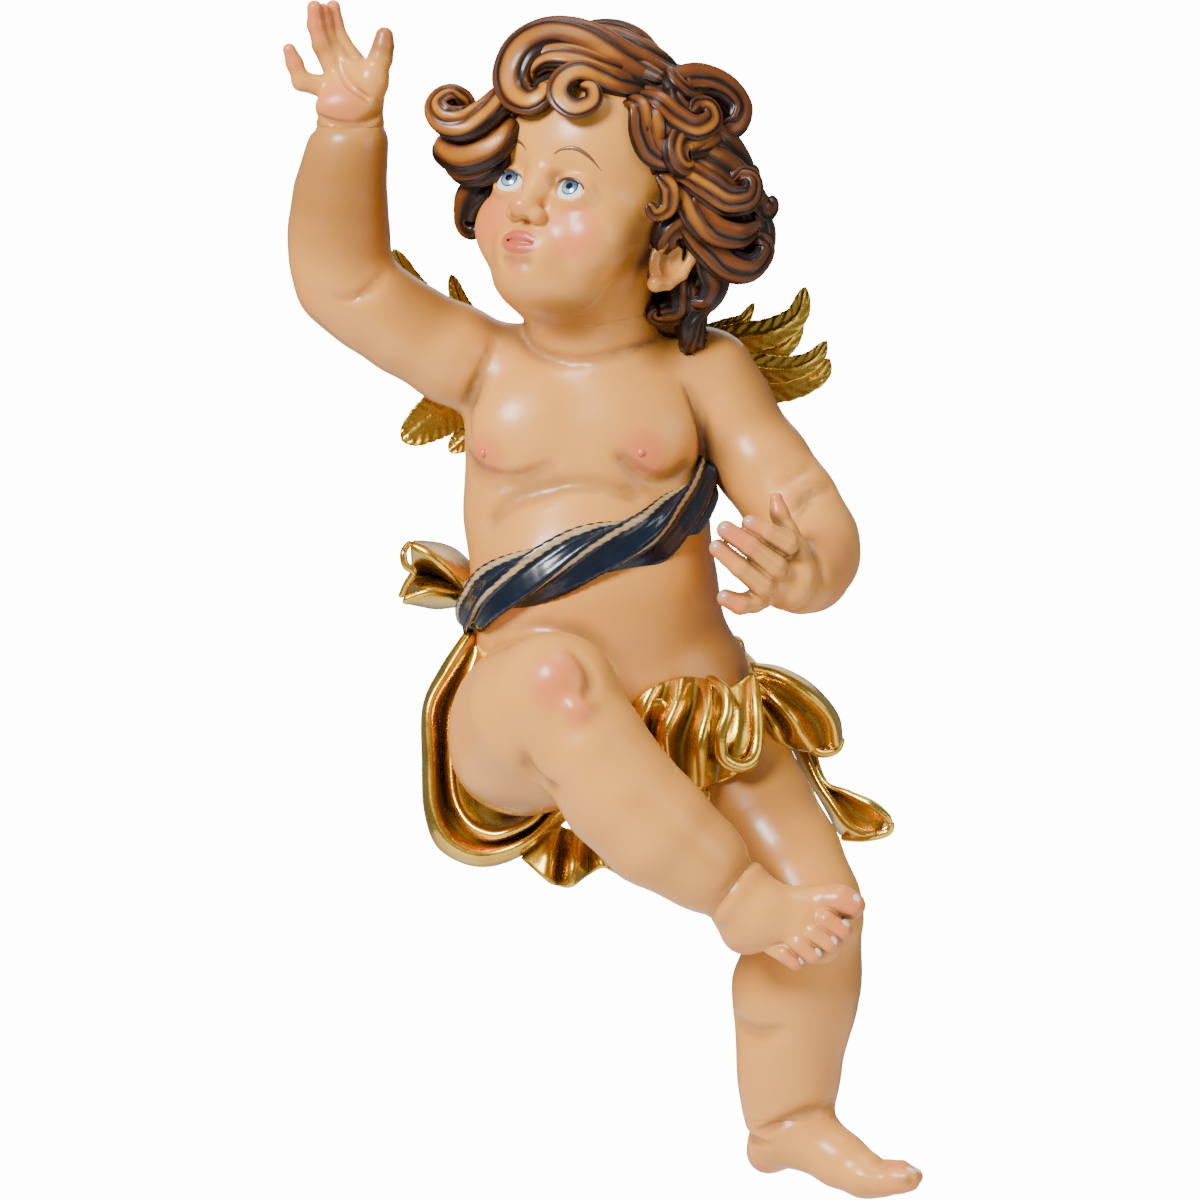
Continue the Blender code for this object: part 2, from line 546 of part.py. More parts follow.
def features(b):
    """Eyes, nose, mouth, chin and ears."""
    b.add(egg(H(0, -53, 36.5), (14, 9.5, 7), AXES), 12)
    b.limb([H4(0, -12, 41.0, 4.2), H4(0, -24, 43.8, 4.6), H4(0, -33, 47.5, 5.0)], 8)
    b.add(egg(H(0, -38.5, 50.2), (7.0, 6.0, 6.6), AXES), 4)
    for side in (-1, 1):
        b.add(egg(H(side * 6.8, -41.0, 46.2), (4.4, 4.2, 5.6), AXES), 2.5)
        b.cut(egg(H(side * 3.5, -44.8, 49.2), (2.2, 2.0, 3.4), AXES), 0.8)
        e = EYE * (side, 1, 1)
        b.add(ball(H(*e), EYE_R + 1.5), 3.0)
        b.groove([H4(side * 9.5, -25, 43.5, 0.5), H4(side * 13, -18.5, 46, 0.9),
            H4(side * 19, -15.6, 46.6, 1.1),
                  H4(side * 25, -18, 44, 0.9), H4(side * 30, -23.5, 39.5, 0.4)], 1.6)
        b.groove([H4(side * 11, -30.5, 44.5, 0.4), H4(side * 18, -35, 43.5, 0.7),
            H4(side * 26, -33.5, 40.5, 0.4)], 2.0)
        b.cut(egg(H(*(e + (0, 0.2, 12.0))), (8.6, 5.3, 9.0), AXES), 0.7)
    b.limb([H4(-11.6, -54.8, 39.2, 0.9), H4(-7.5, -53.2, 41.6, 1.7), H4(-3.0, -51.8, 43.2, 2.2),
        H4(0, -52.4, 43.6, 2.0),
            H4(3.0, -51.8, 43.2, 2.2), H4(7.5, -53.2, 41.6, 1.7), H4(11.6, -54.8, 39.2, 0.9)], 2.2)
    b.limb([H4(-10.5, -55.8, 39.0, 0.9), H4(-6, -57.6, 41.0, 2.0), H4(0, -58.4, 41.9, 2.5),
        H4(6, -57.6, 41.0, 2.0),
            H4(10.5, -55.8, 39.0, 0.9)], 2.4)
    b.groove([H4(-10.8, -55.2, 41.6, 0.5), H4(-5, -54.9, 44.6, 0.9), H4(0, -55.4, 46.2, 1.2),
        H4(5, -54.9, 44.6, 0.9),
              H4(10.8, -55.2, 41.6, 0.5)], 1.0)
    b.groove([H4(0, -44.5, 47.4, 0.6), H4(0, -48.2, 47.2, 1.3)], 1.6, 8)
    b.groove([H4(-6, -64.5, 42.5, 0.3), H4(0, -65.2, 43.5, 0.6), H4(6, -64.5, 42.5, 0.3)], 7)
    for side in (-1, 1):
        b.groove([H4(side * 12.4, -53.6, 39.6, 0.4), H4(side * 13.4, -56.5, 38.2, 0.9),
            H4(side * 12.8, -59, 37.8, 0.4)], 2.5)
        # ear: plate, rim, inner ridge, hollow and lobe
        ear = np.array([side * 45.5, -37.0, -14.0])
        tilt = unit_rows(AXES.T @ (1, 0.05, 0.4 * side), AXES.T @ (0, 1, -0.15),
            AXES.T @ (-0.4 * side, 0.15, 1))
        b.add(egg(H(*(ear + (side * 1.5, 0, 0))), (3.6, 14, 9.5), tilt), 3)
        b.limb([H4(*(ear + (side * x, y, z)), r) for x, y, z, r in EAR_RIM], 1.2)
        b.limb([H4(*(ear + (side * x, y, z)), r) for x, y, z, r in EAR_RIDGE], 1.2)
        b.cut(egg(H(*(ear + (side * 6.6, -1.5, 1.5))), (4.6, 8.2, 5.6), tilt), 1.6)

# ear: places outwards, up and forwards of its middle, with radii
EAR_RIM = [(2.5, 2, 7.5, 2.0), (4.0, 10, 7, 2.4), (6.5, 14.5, 1, 2.7), (9.0, 12, -6.5, 2.8),
    (9.5, 4, -9.5, 2.8), (8.0, -5, -8, 2.8),
           (5.0, -12, -2.5, 3.4), (2.0, -14.5, 3.0, 4.4)]
EAR_RIDGE = [(3.5, 8, 2, 1.2), (5.5, 6, -3.5, 1.6), (6.0, -1, -5.5, 1.7), (4.5, -7, -2, 1.7),
    (3.0, -8, 3.5, 1.8)]


def H4(s, u, f, r):
    return np.r_[H(s, u, f), r]

PARTS = [torso, right_arm, right_hand, left_arm, left_hand, right_leg, right_toes, left_leg, left_toes,
    head, features]


# picture places with depth, half width, curl (size, turns, sign)
MIDDLE = HEAD                 # of the skull
SIDE_ON = 92.0                # depth of the locks past the head's outline


def lay(points, block):
    """Block points on the head for places across and down: the depth is where the view line meets it."""
    points = [tuple(p) + (0,) * (3 - len(p)) for p in points]
    x = np.array([(p[0] - 600) / 2 for p in points])
    z = np.array([(600 - p[1]) / 2 for p in points])
    depth = np.linspace(-165, -SIDE_ON, 110)
    grid = np.stack([np.repeat(x, 110), np.tile(depth, len(x)), np.repeat(z, 110)], 1)
    inside = block.sample(grid).reshape(len(x), 110) < 0
    y = np.where(inside.any(1), depth[np.argmax(inside, 1)], -SIDE_ON)
    for _ in range(2):
        y = np.r_[y[0], (y[:-2] + 2 * y[1:-1] + y[2:]) / 4, y[-1]]
    return np.stack([x, y - 2.5 + np.array([p[2] for p in points]), z], 1)

# places on the front elevation with a shift in depth, half width, end curl as size, turns and hand
LOCKS = [
    # forelock: a broad roll over the brow with a strand inside it
    (((712, 104, 4), (668, 90), (624, 70, -4), (586, 48, -10), (552, 42, -16), (526, 54, -20),
     (514, 78, -18), (518, 98, -14), (532, 106, -12), (544, 98, -10), (542, 88, -8)), 12.9, None),
    (((640, 88, 8), (604, 76, -4), (570, 63, -12), (546, 62, -14), (530, 74, -12), (530, 88, -8)), 8.5,
     None),
    # ring curl
    (((650, 94, 10), (622, 92, -2), (600, 84, -4), (580, 78, -6), (564, 86, -8), (560, 102, -9),
     (574, 115, -9), (592, 108, -8), (592, 94, -7), (580, 90, -6)), 6.8, None),
    # top
    (((690, 92, 10), (662, 78, 2), (636, 60, 2), (610, 44, 2), (582, 40, 0), (556, 48, -4)), 12.3, None),
    (((676, 76, 26), (646, 56, 16), (624, 38, 16), (600, 32, 14), (572, 36, 10)), 11.0, None),
    (((604, 46, 2), (618, 60, -6), (640, 72, -4), (664, 84, -4)), 7.3, None),
    # loop on the right and the bright curl inside it
    (((640, 92, 10), (668, 88, 0), (696, 82, -2), (722, 90, -6), (738, 108, -8), (734, 126, -8),
     (718, 132, -6)), 9.8, None),
    (((632, 98, 10), (656, 106, -2), (674, 122, -6), (694, 132, -10), (710, 124, -12), (708, 110, -12),
     (696, 108, -10), (690, 115, -8)), 6.8, None),
    (((630, 104, 10), (650, 116, 0), (664, 134, -2), (682, 146, -4), (704, 144, -8), (720, 134, -6)),
     6.8, None),
    # temple
    (((622, 102, 10), (638, 112, -2), (640, 138, -2), (648, 158, -2), (664, 166, -2), (680, 158, 0)),
     6.3, None),
    (((634, 108, 9), (652, 124, -2), (656, 146, -2), (670, 156, -2), (684, 148, 0)), 6.3, None),
    # left side
    (((524, 82, 0), (508, 98, -14), (490, 116, -18), (468, 127, -20), (448, 123, -20), (440, 109, -18),
     (449, 99, -14), (464, 102, -8), (474, 110, -4)), 9.2, None),
    (((514, 120, 0), (496, 144, -8), (470, 156, -10), (448, 150, -10), (446, 138, -8)), 11.6, None),
    (((508, 148, 6), (490, 166, -2), (466, 168, -4), (450, 158, -4)), 10.4, None),
    (((500, 168, 14), (486, 184, 4), (472, 200, 2), (468, 216, 2)), 9.2, (5.0, 0.6, -1)),
    # right cluster
    (((656, 176, 2), (680, 174, -4), (702, 188, -10), (722, 202, -14), (744, 200, -16),
     (750, 184, -16), (738, 176, -12), (728, 184, -8)), 8.5, None),
    (((658, 182, 4), (680, 194, -4), (694, 216, -10), (712, 232, -14), (738, 236, -16),
     (756, 226, -12)), 8.5, None),
    (((664, 190, 6), (684, 216, -2), (702, 240, -8), (724, 262, -12), (748, 266, -12), (762, 250, -10),
     (752, 238, -8), (738, 246, -6)), 9.8, None),
    (((672, 150, 8), (700, 160, 0), (724, 172, -2), (744, 190, -4), (758, 206, -4)), 10.4,
     (5.0, 0.6, -1)),
    (((690, 124, 16), (714, 138, 2), (730, 158, 0), (742, 172, 0)), 10.4, (5.0, 0.5, -1)),
    (((740, 200, 8), (754, 218, 0), (762, 236, -2)), 8.5, (5.0, 0.6, 1)),
    (((658, 176, 0), (668, 192, -6), (666, 210, -6), (654, 216, -6), (648, 206, -4)), 5.4, None),
    # nape
    (((690, 232, 2), (706, 258, -6), (712, 282, -6), (704, 300, -4), (690, 302, -2), (686, 292, 0)),
     9.2, None),
    (((676, 264, 8), (684, 288, -2), (680, 308, -2), (664, 312, -2)), 9.2, (4.0, 0.6, 1)),
    (((664, 276, 18), (654, 296, 10), (660, 314, 8), (678, 320, 8), (698, 314, 8)), 9.8, None),
    (((716, 226, 6), (732, 246, 0), (744, 262, 0)), 9.8, (6.0, 0.7, -1)),
]
# rows round the back: height angle, locks, half width, fall, reach to each side
ROWS = ((66, 6, 11.0, 34, 118), (40, 8, 11.5, 36, 108), (12, 9, 11.5, 36, 92), (-14, 8, 10.5, 20, 84))


def back_locks():
    """Locks on the crown and the back of the head, row by row from the crown down."""
    out = []
    for row, (high, count, half, fall, reach) in enumerate(ROWS):
        for k in range(count):
            bearing = math.radians(-reach + 2 * reach * (k + 0.5 * (row % 2)) / (count - 0.5))
            pts = []
            for step in range(4):
                e = math.radians(high - fall * step / 3 * (0.7 + 0.3 * ((k * 3 + row) % 3) / 2))
                turn = bearing + 0.17 * math.sin(step * 2.1 + k * 1.7 + row)
                across, up, back = math.sin(turn) * math.cos(e), math.sin(e), -math.cos(turn) * math.cos(e)
                pts.append(H(across * 58 - 1, up * 56 + 6, back * 58 - 8))
            out.append((np.array(pts), half, (7.0, 0.8, 1 if (k + row) % 2 else -1)))
    return out

# how far the hair stands out on the viewer's right, by height
SIDE_UP = (140, 160, 180, 200, 220, 240, 255, 265)
SIDE_OUT = (50, 54, 76, 75, 69, 66, 56, 40)


def side_locks():
    """Waved locks that fall over the full side of the hair, on the viewer's right."""
    out = []
    for k in range(9):
        row, column = divmod(k, 3)
        pts = []
        for step in range(6):
            z = 246 - 34 * row - 6 * column - 9 * step
            y = -108 + 15 * column + 4 * step + 5 * math.sin(1.5 * step + 2 * row)
            wide = math.sqrt(max(1 - ((y + 86) / 46) ** 2, 0.05))
            pts.append((40 + (float(np.interp(z, SIDE_UP, SIDE_OUT)) - 45) * wide, y, z))
        out.append((np.array(pts), 9.5, (6.5, 0.8, 1 if k % 2 else -1)))
    return out


def locks(block):
    """Every lock: its points, half width, end curl, and how far it turns its face to the viewer."""
    return ([(lay(points, block), half, curl, 55.0) for points, half, curl in LOCKS]
            + [lock + (0.0,) for lock in back_locks() + side_locks()])


def lock_path(points, curl, face, rows):
    if curl:
        size, turns, hand = curl
        points = curled(points, unit(points[-1] - MIDDLE + (0, -face, 0)), size, turns, hand, lift=2.5)
    return even(points, rows)


def cap(b):
    """The close hair under the locks."""
    b.add(egg(H(0, 8, -9), (52, 49, 51), AXES), 2)
    b.add(egg(H(0, -26, -26), (44, 34, 34), AXES), 12)
    b.add(egg(H(31, 18, 4), (22, 28, 26), AXES), 10)
    b.add(egg(H(-32, 18, 8), (20, 26, 26), AXES), 10)
    b.add(egg((-2, -90, 258), (38, 24, 18)), 8)
    b.add(egg((52, -86, 232), (18, 20, 16)), 8)
    b.add(egg((50, -86, 208), (20, 26, 28)), 8)
    b.add(egg((58, -88, 188), (17, 20, 18)), 8)
    b.add(egg((44, -80, 154), (14, 18, 18)), 8)
    b.add(egg((-58, -98, 226), (13, 12, 18)), 8)
    b.add(egg((-70, -100, 245), (9, 5, 9)), 6)
    b.add(egg((60, -82, 246), (12, 7, 13)), 6)
    b.add(egg((70, -84, 176), (12, 8, 12)), 6)


def lock_width(half, rows):
    """Half width along a lock: it swells from its root and ends in a round knob."""
    return half * ends(np.linspace(0, 1, rows), 0.55, 0.50, 0.42, 0.07)


FRONT = (0, -1, 0)

# sheets of carved cloth: each a row of rails, crests and hollows by turns, as places with their depth
SHEETS = [
    # bow at the end of the sash
    (((474, 566, -54), (454, 548, -58), (432, 541, -60), (412, 541, -70)),
     ((470, 594, -74), (452, 575, -84), (430, 556, -88), (410, 545, -84)),
     ((468, 592, -58), (450, 582, -52), (428, 574, -48), (409, 572, -64)),
     ((466, 598, -74), (448, 593, -82), (428, 591, -87), (402, 600, -84)),
     ((472, 604, -60), (450, 608, -62), (430, 609, -62), (402, 602, -68))),
    # strip down the left side and the swag under the thigh
    (((466, 630, -84), (440, 668, -88), (423, 706, -92), (422, 760, -92), (424, 810, -94),
     (436, 846, -96), (464, 864, -98), (494, 866, -100),
      (528, 852, -100), (560, 826, -96), (592, 800, -90)),
     ((472, 632, -88), (448, 672, -94), (430, 708, -99), (431, 760, -101), (434, 806, -103),
      (448, 838, -106), (472, 853, -108), (498, 852, -108),
      (530, 838, -108), (558, 812, -102), (586, 788, -92)),
     ((477, 638, -84), (456, 678, -84), (442, 712, -84), (442, 760, -84), (446, 802, -86),
      (460, 830, -90), (482, 842, -94), (504, 840, -96),
      (532, 828, -94), (554, 804, -92), (580, 780, -86)),
     ((481, 655, -84), (466, 690, -90), (454, 722, -94), (452, 764, -97), (456, 800, -101),
      (470, 824, -106), (490, 834, -110), (508, 832, -112),
      (533, 820, -110), (552, 798, -106), (574, 774, -94)),
     ((484, 668, -70), (470, 700, -70), (464, 735, -70), (464, 775, -74), (472, 802, -80),
      (484, 814, -88), (498, 820, -96), (512, 818, -98),
      (530, 810, -98), (545, 790, -94), (562, 770, -86)),
     ((494, 680, -62), (486, 705, -62), (482, 735, -60), (482, 765, -62), (490, 786, -68),
      (502, 792, -76), (514, 793, -84), (524, 790, -88),
      (536, 784, -88), (548, 774, -86), (562, 758, -84))),
    # tips under the knee
    (((536, 834, -90), (528, 848, -98), (521, 858, -102)),
     ((556, 822, -94), (550, 852, -106), (546, 880, -110)),
     ((564, 828, -90), (560, 858, -95), (557, 886, -98)),
     ((576, 830, -94), (574, 862, -107), (571, 887, -108)),
     ((588, 836, -90), (588, 860, -94), (588, 876, -96)),
     ((602, 840, -92), (602, 858, -102), (604, 868, -104)),
     ((618, 844, -88), (620, 864, -92), (622, 876, -94)),
     ((640, 846, -88), (640, 862, -98), (646, 872, -98))),
    # front between the legs
    (((632, 703, -118), (628, 718, -116), (634, 732, -114), (646, 746, -112)),
     ((654, 685, -120), (645, 706, -122), (642, 726, -121), (652, 756, -119)),
     ((667, 680, -116), (658, 706, -115), (651, 732, -114), (660, 766, -112)),
     ((682, 676, -119), (676, 704, -129), (664, 736, -131), (670, 782, -122)),
     ((695, 677, -112), (691, 706, -119), (680, 742, -121), (683, 788, -117)),
     ((709, 680, -117), (708, 708, -132), (699, 746, -137), (698, 790, -128)),
     ((721, 688, -108), (723, 716, -117), (718, 746, -122), (714, 784, -120)),
     ((738, 681, -110), (741, 710, -118), (740, 742, -123), (732, 776, -122)),
     ((755, 669, -104), (758, 706, -112), (757, 742, -116), (749, 767, -114))),
    # tip below it
    (((690, 776, -106), (700, 784, -108), (712, 794, -110)),
     ((706, 772, -108), (708, 788, -114), (706, 806, -114)),
     ((722, 770, -106), (716, 788, -108), (708, 808, -108))),
    # fan on the hip
    (((750, 663, -90), (780, 667, -96), (812, 684, -96), (838, 714, -90), (843, 740, -86)),
     ((752, 668, -98), (780, 677, -108), (808, 694, -110), (830, 718, -104), (837, 748, -96)),
     ((754, 676, -96), (778, 690, -98), (800, 706, -98), (816, 724, -92), (824, 750, -88)),
     ((755, 684, -98), (776, 701, -107), (792, 718, -108), (800, 734, -104), (812, 752, -94)),
     ((756, 692, -95), (772, 710, -97), (784, 726, -96), (790, 740, -92), (798, 750, -86)),
     ((756, 700, -96), (768, 718, -104), (776, 732, -105), (780, 742, -100), (784, 748, -92)),
     ((754, 712, -92), (760, 728, -94), (766, 738, -92), (768, 744, -88), (770, 746, -84))),
    # tail
    (((786, 735, -62), (806, 775, -66), (824, 805, -70), (838, 832, -74), (845, 839, -76)),
     ((798, 728, -72), (816, 776, -80), (832, 802, -86), (850, 826, -90), (872, 836, -92)),
     ((805, 730, -66), (820, 778, -70), (840, 799, -74), (860, 817, -78), (884, 830, -82)),
     ((812, 733, -68), (824, 780, -78), (848, 793, -86), (872, 805, -92), (893, 822, -92)),
     ((812, 743, -56), (828, 784, -60), (850, 794, -64), (874, 803, -70), (888, 814, -76))),
]
# rolled edges on the sheets: places with depth, half width, half thickness
ROLLS = [
    (((706, 676, -114), (724, 690, -128), (727, 710, -133), (720, 734, -134), (722, 756, -131),
     (738, 765, -128), (752, 758, -124), (757, 738, -121),
      (756, 704, -118), (752, 672, -108)), 3.4, 3.2),
    (((844, 738, -90), (836, 751, -92), (818, 753, -92), (804, 736, -92), (800, 716, -96)), 2.2, 2.2),
    (((842, 839, -80), (866, 838, -86), (888, 833, -88), (893, 822, -90)), 2.4, 2.4),
    (((410, 541, -82), (403, 552, -86), (405, 565, -86), (413, 572, -86), (406, 584, -84),
     (399, 598, -82)), 2.0, 2.0),
]


def across(sheet):
    return rows_unit(np.cross(np.gradient(sheet, axis=0), np.gradient(sheet, axis=1)))


def draped(rails, rows, cols, thick):
    """A sheet: P(u, v) eases along a rail with u and from rail to rail with v. Its rims are closed."""
    lines = np.stack([even([at(*p) for p in rail], rows) for rail in rails])
    sheet = curve(lines.reshape(len(rails), rows * 3), cols).reshape(cols, rows, 3)
    if across(sheet)[..., 1].sum() > 0:
        sheet = sheet[::-1]
    normal = across(sheet)
    u = np.minimum(np.arange(cols), np.arange(cols)[::-1])[:, None] / 3.0
    v = np.minimum(np.arange(rows), np.arange(rows)[::-1])[None] / 3.0
    rim = np.clip(np.minimum(u, v), 0, 1)
    half = thick / 2 * np.sqrt(np.clip(1 - (1 - rim) ** 2, 0.02, 1))[..., None]
    front, back = sheet + normal * half, sheet - normal * half
    verts = np.vstack([front.reshape(-1, 3), back.reshape(-1, 3)])
    i, j = np.meshgrid(np.arange(cols - 1), np.arange(rows - 1), indexing="ij")
    a = (i * rows + j).ravel()
    quads = np.stack([a, a + rows, a + rows + 1, a + 1], 1)
    edge = np.concatenate([np.arange(cols) * rows, (cols - 1) * rows + np.arange(1, rows),
                           (np.arange(cols - 1) * rows + rows - 1)[::-1], np.arange(1, rows - 1)[::-1]])
    after = np.roll(edge, -1)
    shift = cols * rows
    rims = np.stack([edge, edge + shift, after + shift, after], 1)
    return verts, np.vstack([quads, quads[:, ::-1] + shift, rims]), np.zeros((0, 3), int)


def cloth_shells(fine=1.0, stout=1.0):
    out = [draped(rails, int(16 * (len(rails[0]) - 1) * fine), int(10 * (len(rails) - 1) * fine),
        2.6 * stout) for rails in SHEETS]
    for points, half, thick in ROLLS:
        path = even([at(*p) for p in points], int(60 * fine))
        s = np.linspace(0, 1, len(path))
        out.append(sweep(path, half * ends(s, 0.7, 0.7, 0.5),
            thick * stout ** 0.5 * ends(s, 0.7, 0.7, 0.5), FRONT, int(20 * fine)))
    return out


HIP_FOLDS, FOLD_STEPS = 6, 9    # folds round the hips, and places along each
HIP_MIDDLE = (15, -68)          # of the hips in plan
HIP_REACH = (67, 50)            # half width and half depth of the cloth round them
FOLD_TOP, FOLD_PITCH = -12, 13  # height of the uppermost fold, and from fold to fold


def wrap(b):
    """The cloth round the hips: a shell over the body with folds that gather at the two hips."""
    b.add(egg((14, -70, -40), (67, 52, 46)), 0)
    b.add(egg((18, -60, -62), (61, 47, 38)), 10)
    b.add(egg((-8, -54, -60), (50, 40, 40)), 10)
    b.cut(bone((-16, -86, -54), (-30, -160, -58), 40, 39), 3)
    b.cut(beyond((0, -20, -2), (0.1, -0.4, 0.9)), 2)
    for k in range(HIP_FOLDS):
        high = FOLD_TOP - FOLD_PITCH * k
        pts = []
        for step in range(FOLD_STEPS):
            a = math.pi * step / (FOLD_STEPS - 1)
            sag = (8 + 5 * k) * math.sin(a)
            u = ((high - sag + 50) / 62) ** 2
            wide = math.sqrt(max(1.05 - u, 0.25))
            x = HIP_MIDDLE[0] - math.cos(a) * HIP_REACH[0] * wide
            y = HIP_MIDDLE[1] + math.sin(a) * HIP_REACH[1] * wide
            pts.append((x, y, high - sag + 10 * math.cos(a) + 2.0 * math.sin(3 * a + 1.9 * k),
                2.5 + 3.0 * math.sin(a)))
        b.limb(pts, 4.5)

SASH_STRANDS, SASH_TURNS = 5, 2
# height of the sash round the body, by bearing from the viewer's right, over the back
SASH_TURN = (0, 30, 60, 90, 120, 150, 180, 210, 240, 270, 300, 330, 360)
SASH_UP = (72, 56, 36, 20, 8, -2, -6, -2, 9, 22, 30, 46, 72)


def sash_path(body, count):
    """The loop of the sash: places on the body at the heights of the table, and their directions outwards."""
    turn = np.arange(count) * 360.0 / count
    up = np.interp(turn, SASH_TURN, SASH_UP)
    for _ in range(count // 12):
        up = (np.roll(up, 1) + 2 * up + np.roll(up, -1)) / 4
    d = np.stack([np.cos(np.radians(turn)), np.sin(np.radians(turn)), 0.0 * turn], 1)
    c = np.stack([0 * up - 8, 0 * up - 68, up], 1)
    reach = np.linspace(20, 95, 151)
    inside = body.sample((c[:, None] + d[:, None] * reach[None, :, None]).reshape(-1,
        3)).reshape(count, -1) < 0
    r = reach[np.argmax(~inside, 1)]
    for _ in range(6):
        r = (np.roll(r, 1) + 2 * r + np.roll(r, -1)) / 4
    return c + d * (r[:, None] + 1.5), d


def sash(body, count=360, cols=48):
    """A flat twist of cloth round the body: its round swells and sinks with the strands as they wind."""
    path, out = sash_path(body, count)

    def shape(s, a):
        turn = a - s * 2 * math.pi * SASH_TURNS
        return 1 + 0.20 * np.cos(SASH_STRANDS * turn) + 0.07 * np.cos(2 * SASH_STRANDS * turn + 0.8)

    return loop(path, 12.0, 5.4, out, cols, shape)


# feathers: places along the rib on the front elevation, half width and depth of the root
LEFT = [
    (((666, 358), (700, 332), (728, 321), (746, 314), (757, 297)), 4.6, -11),
    (((664, 380), (715, 376), (755, 381), (794, 380), (822, 370), (834, 354)), 10.0, -10),
    (((664, 368), (715, 352), (760, 347), (788, 341), (807, 316)), 7.5, -11),
    (((664, 364), (704, 344), (738, 334), (772, 328), (800, 311), (809, 281)), 8.5, -13),
    (((664, 372), (712, 359), (750, 362), (788, 365), (816, 356), (831, 336)), 8.0, -13),
]
RIGHT = [
    (((508, 343), (480, 325), (459, 300), (448, 268)), 5.6, -11),
    (((505, 348), (450, 322), (412, 284), (389, 242)), 8.0, -11),
    (((500, 360), (440, 348), (398, 322), (374, 288)), 8.5, -12),
    (((498, 372), (445, 372), (405, 352), (378, 332)), 8.5, -10),
    (((505, 392), (478, 420), (446, 449)), 8.0, -9),
    (((500, 378), (468, 390), (434, 412), (398, 438)), 13.0, -11),
]
BARBS = 13                # to a feather


def feather(points, half, y, fine):
    """A feather along its rib: cupped, with a raised rib, slanting barbs and a notched edge."""
    pts = np.array([at(a, b, y - 2.4 * k) for k, (a, b) in enumerate(points)])
    rows, cols = int(96 * fine), int(44 * fine)
    path = even(pts, rows)
    s = np.linspace(0, 1, rows)
    tooth = (s * BARBS) % 1.0
    w = half * ends(s, 0.5, 0.42, 0.5, 0.12) * (1 - 0.07 * np.clip(s * 4, 0, 1) * tooth)
    cup = 0.10 * half

    def fold(u, v):
        rib = 1.3 * np.exp(-(v / 0.13) ** 2) * (1 - 0.6 * u)
        slant = (u * BARBS - np.abs(v) * 1.6) % 1.0
        barb = 0.8 * (0.5 - slant) * np.clip(np.abs(v) * 3 - 0.3, 0, 1)
        return rib + barb + cup * (v * v - 0.5)

    return sweep(path, w, 2.3 * ends(s, 0.95, 0.5, 0.2, 0.08), (0, -1, 0), cols, fold)


def wing_shells(which, fine=1.0):
    return [feather(points, half, y, fine) for points, half, y in which]


def mesh_object(name, verts, quads, tris):
    mesh = bpy.data.meshes.new(name)
    starts = np.r_[np.arange(len(quads)) * 4, len(quads) * 4 + np.arange(len(tris)) * 3]
    corners = np.r_[quads.ravel(), tris.ravel()].astype(np.int32)
    mesh.vertices.add(len(verts))
    mesh.vertices.foreach_set("co", np.asarray(verts, np.float32).ravel())
    mesh.loops.add(len(corners))
    mesh.loops.foreach_set("vertex_index", corners)
    mesh.polygons.add(len(starts))
    mesh.polygons.foreach_set("loop_start", starts.astype(np.int32))
    mesh.update(calc_edges=True)
    thing = bpy.data.objects.new(name, mesh)
    bpy.context.scene.collection.objects.link(thing)
    return thing


def settled(thing):
    """The object's mesh with its modifiers worked in."""
    shown = thing.evaluated_get(bpy.context.evaluated_depsgraph_get())
    mesh = bpy.data.meshes.new_from_object(shown)
    thing.modifiers.clear()
    thing.data = mesh
    return thing


def outer_shell(thing):
    """Drop what lies closed off inside: only the largest connected skin stays."""
    mesh = thing.data
    edges = np.zeros(len(mesh.edges) * 2, np.int32)
    mesh.edges.foreach_get("vertices", edges)
    edges = edges.reshape(-1, 2)
    label = np.arange(len(mesh.vertices))
    while True:
        low = np.minimum(label[edges[:, 0]], label[edges[:, 1]])
        lower = label.copy()
        np.minimum.at(lower, edges[:, 0], low)
        np.minimum.at(lower, edges[:, 1], low)
        lower = lower[lower]
        if (lower == label).all():
            break
        label = lower
    keep = label == np.bincount(label).argmax()
    count = len(mesh.polygons)
    starts, sizes = np.zeros(count, np.int32), np.zeros(count, np.int32)
    mesh.polygons.foreach_get("loop_start", starts)
    mesh.polygons.foreach_get("loop_total", sizes)
    corners = np.zeros(len(mesh.loops), np.int32)
    mesh.loops.foreach_get("vertex_index", corners)
    places = np.zeros(len(mesh.vertices) * 3, np.float32)
    mesh.vertices.foreach_get("co", places)
    new = np.cumsum(keep) - 1
    kept = keep[corners[starts]]
    quads = corners[starts[kept & (sizes == 4)][:, None] + np.arange(4)]
    tris = corners[starts[kept & (sizes == 3)][:, None] + np.arange(3)]
    out = mesh_object(thing.name + "_skin", places.reshape(-1, 3)[keep], new[quads], new[tris])
    bpy.data.objects.remove(thing)
    return out


def carve(name, shells, faces):
    """Merge closed skins into one, in metres from the wall seat, and thin it out to a count of triangles."""
    verts, quads, tris = merged(shells)
    origin = np.array(WALL_SEAT_AT)
    thing = mesh_object(name + "_rough", (verts - origin) * UNIT, quads, tris)
    remesh = thing.modifiers.new("merge", "REMESH")
    remesh.mode = "VOXEL"
    remesh.voxel_size = VOXEL * UNIT
    relax = thing.modifiers.new("relax", "SMOOTH")
    relax.factor, relax.iterations = 0.5, RELAX
    thing = outer_shell(settled(thing))
    thin = thing.modifiers.new("thin", "DECIMATE")
    thin.ratio = faces / sum(len(p.vertices) - 2 for p in thing.data.polygons)
    settled(thing)
    thing.name = name
    thing.data.name = name
    return thing


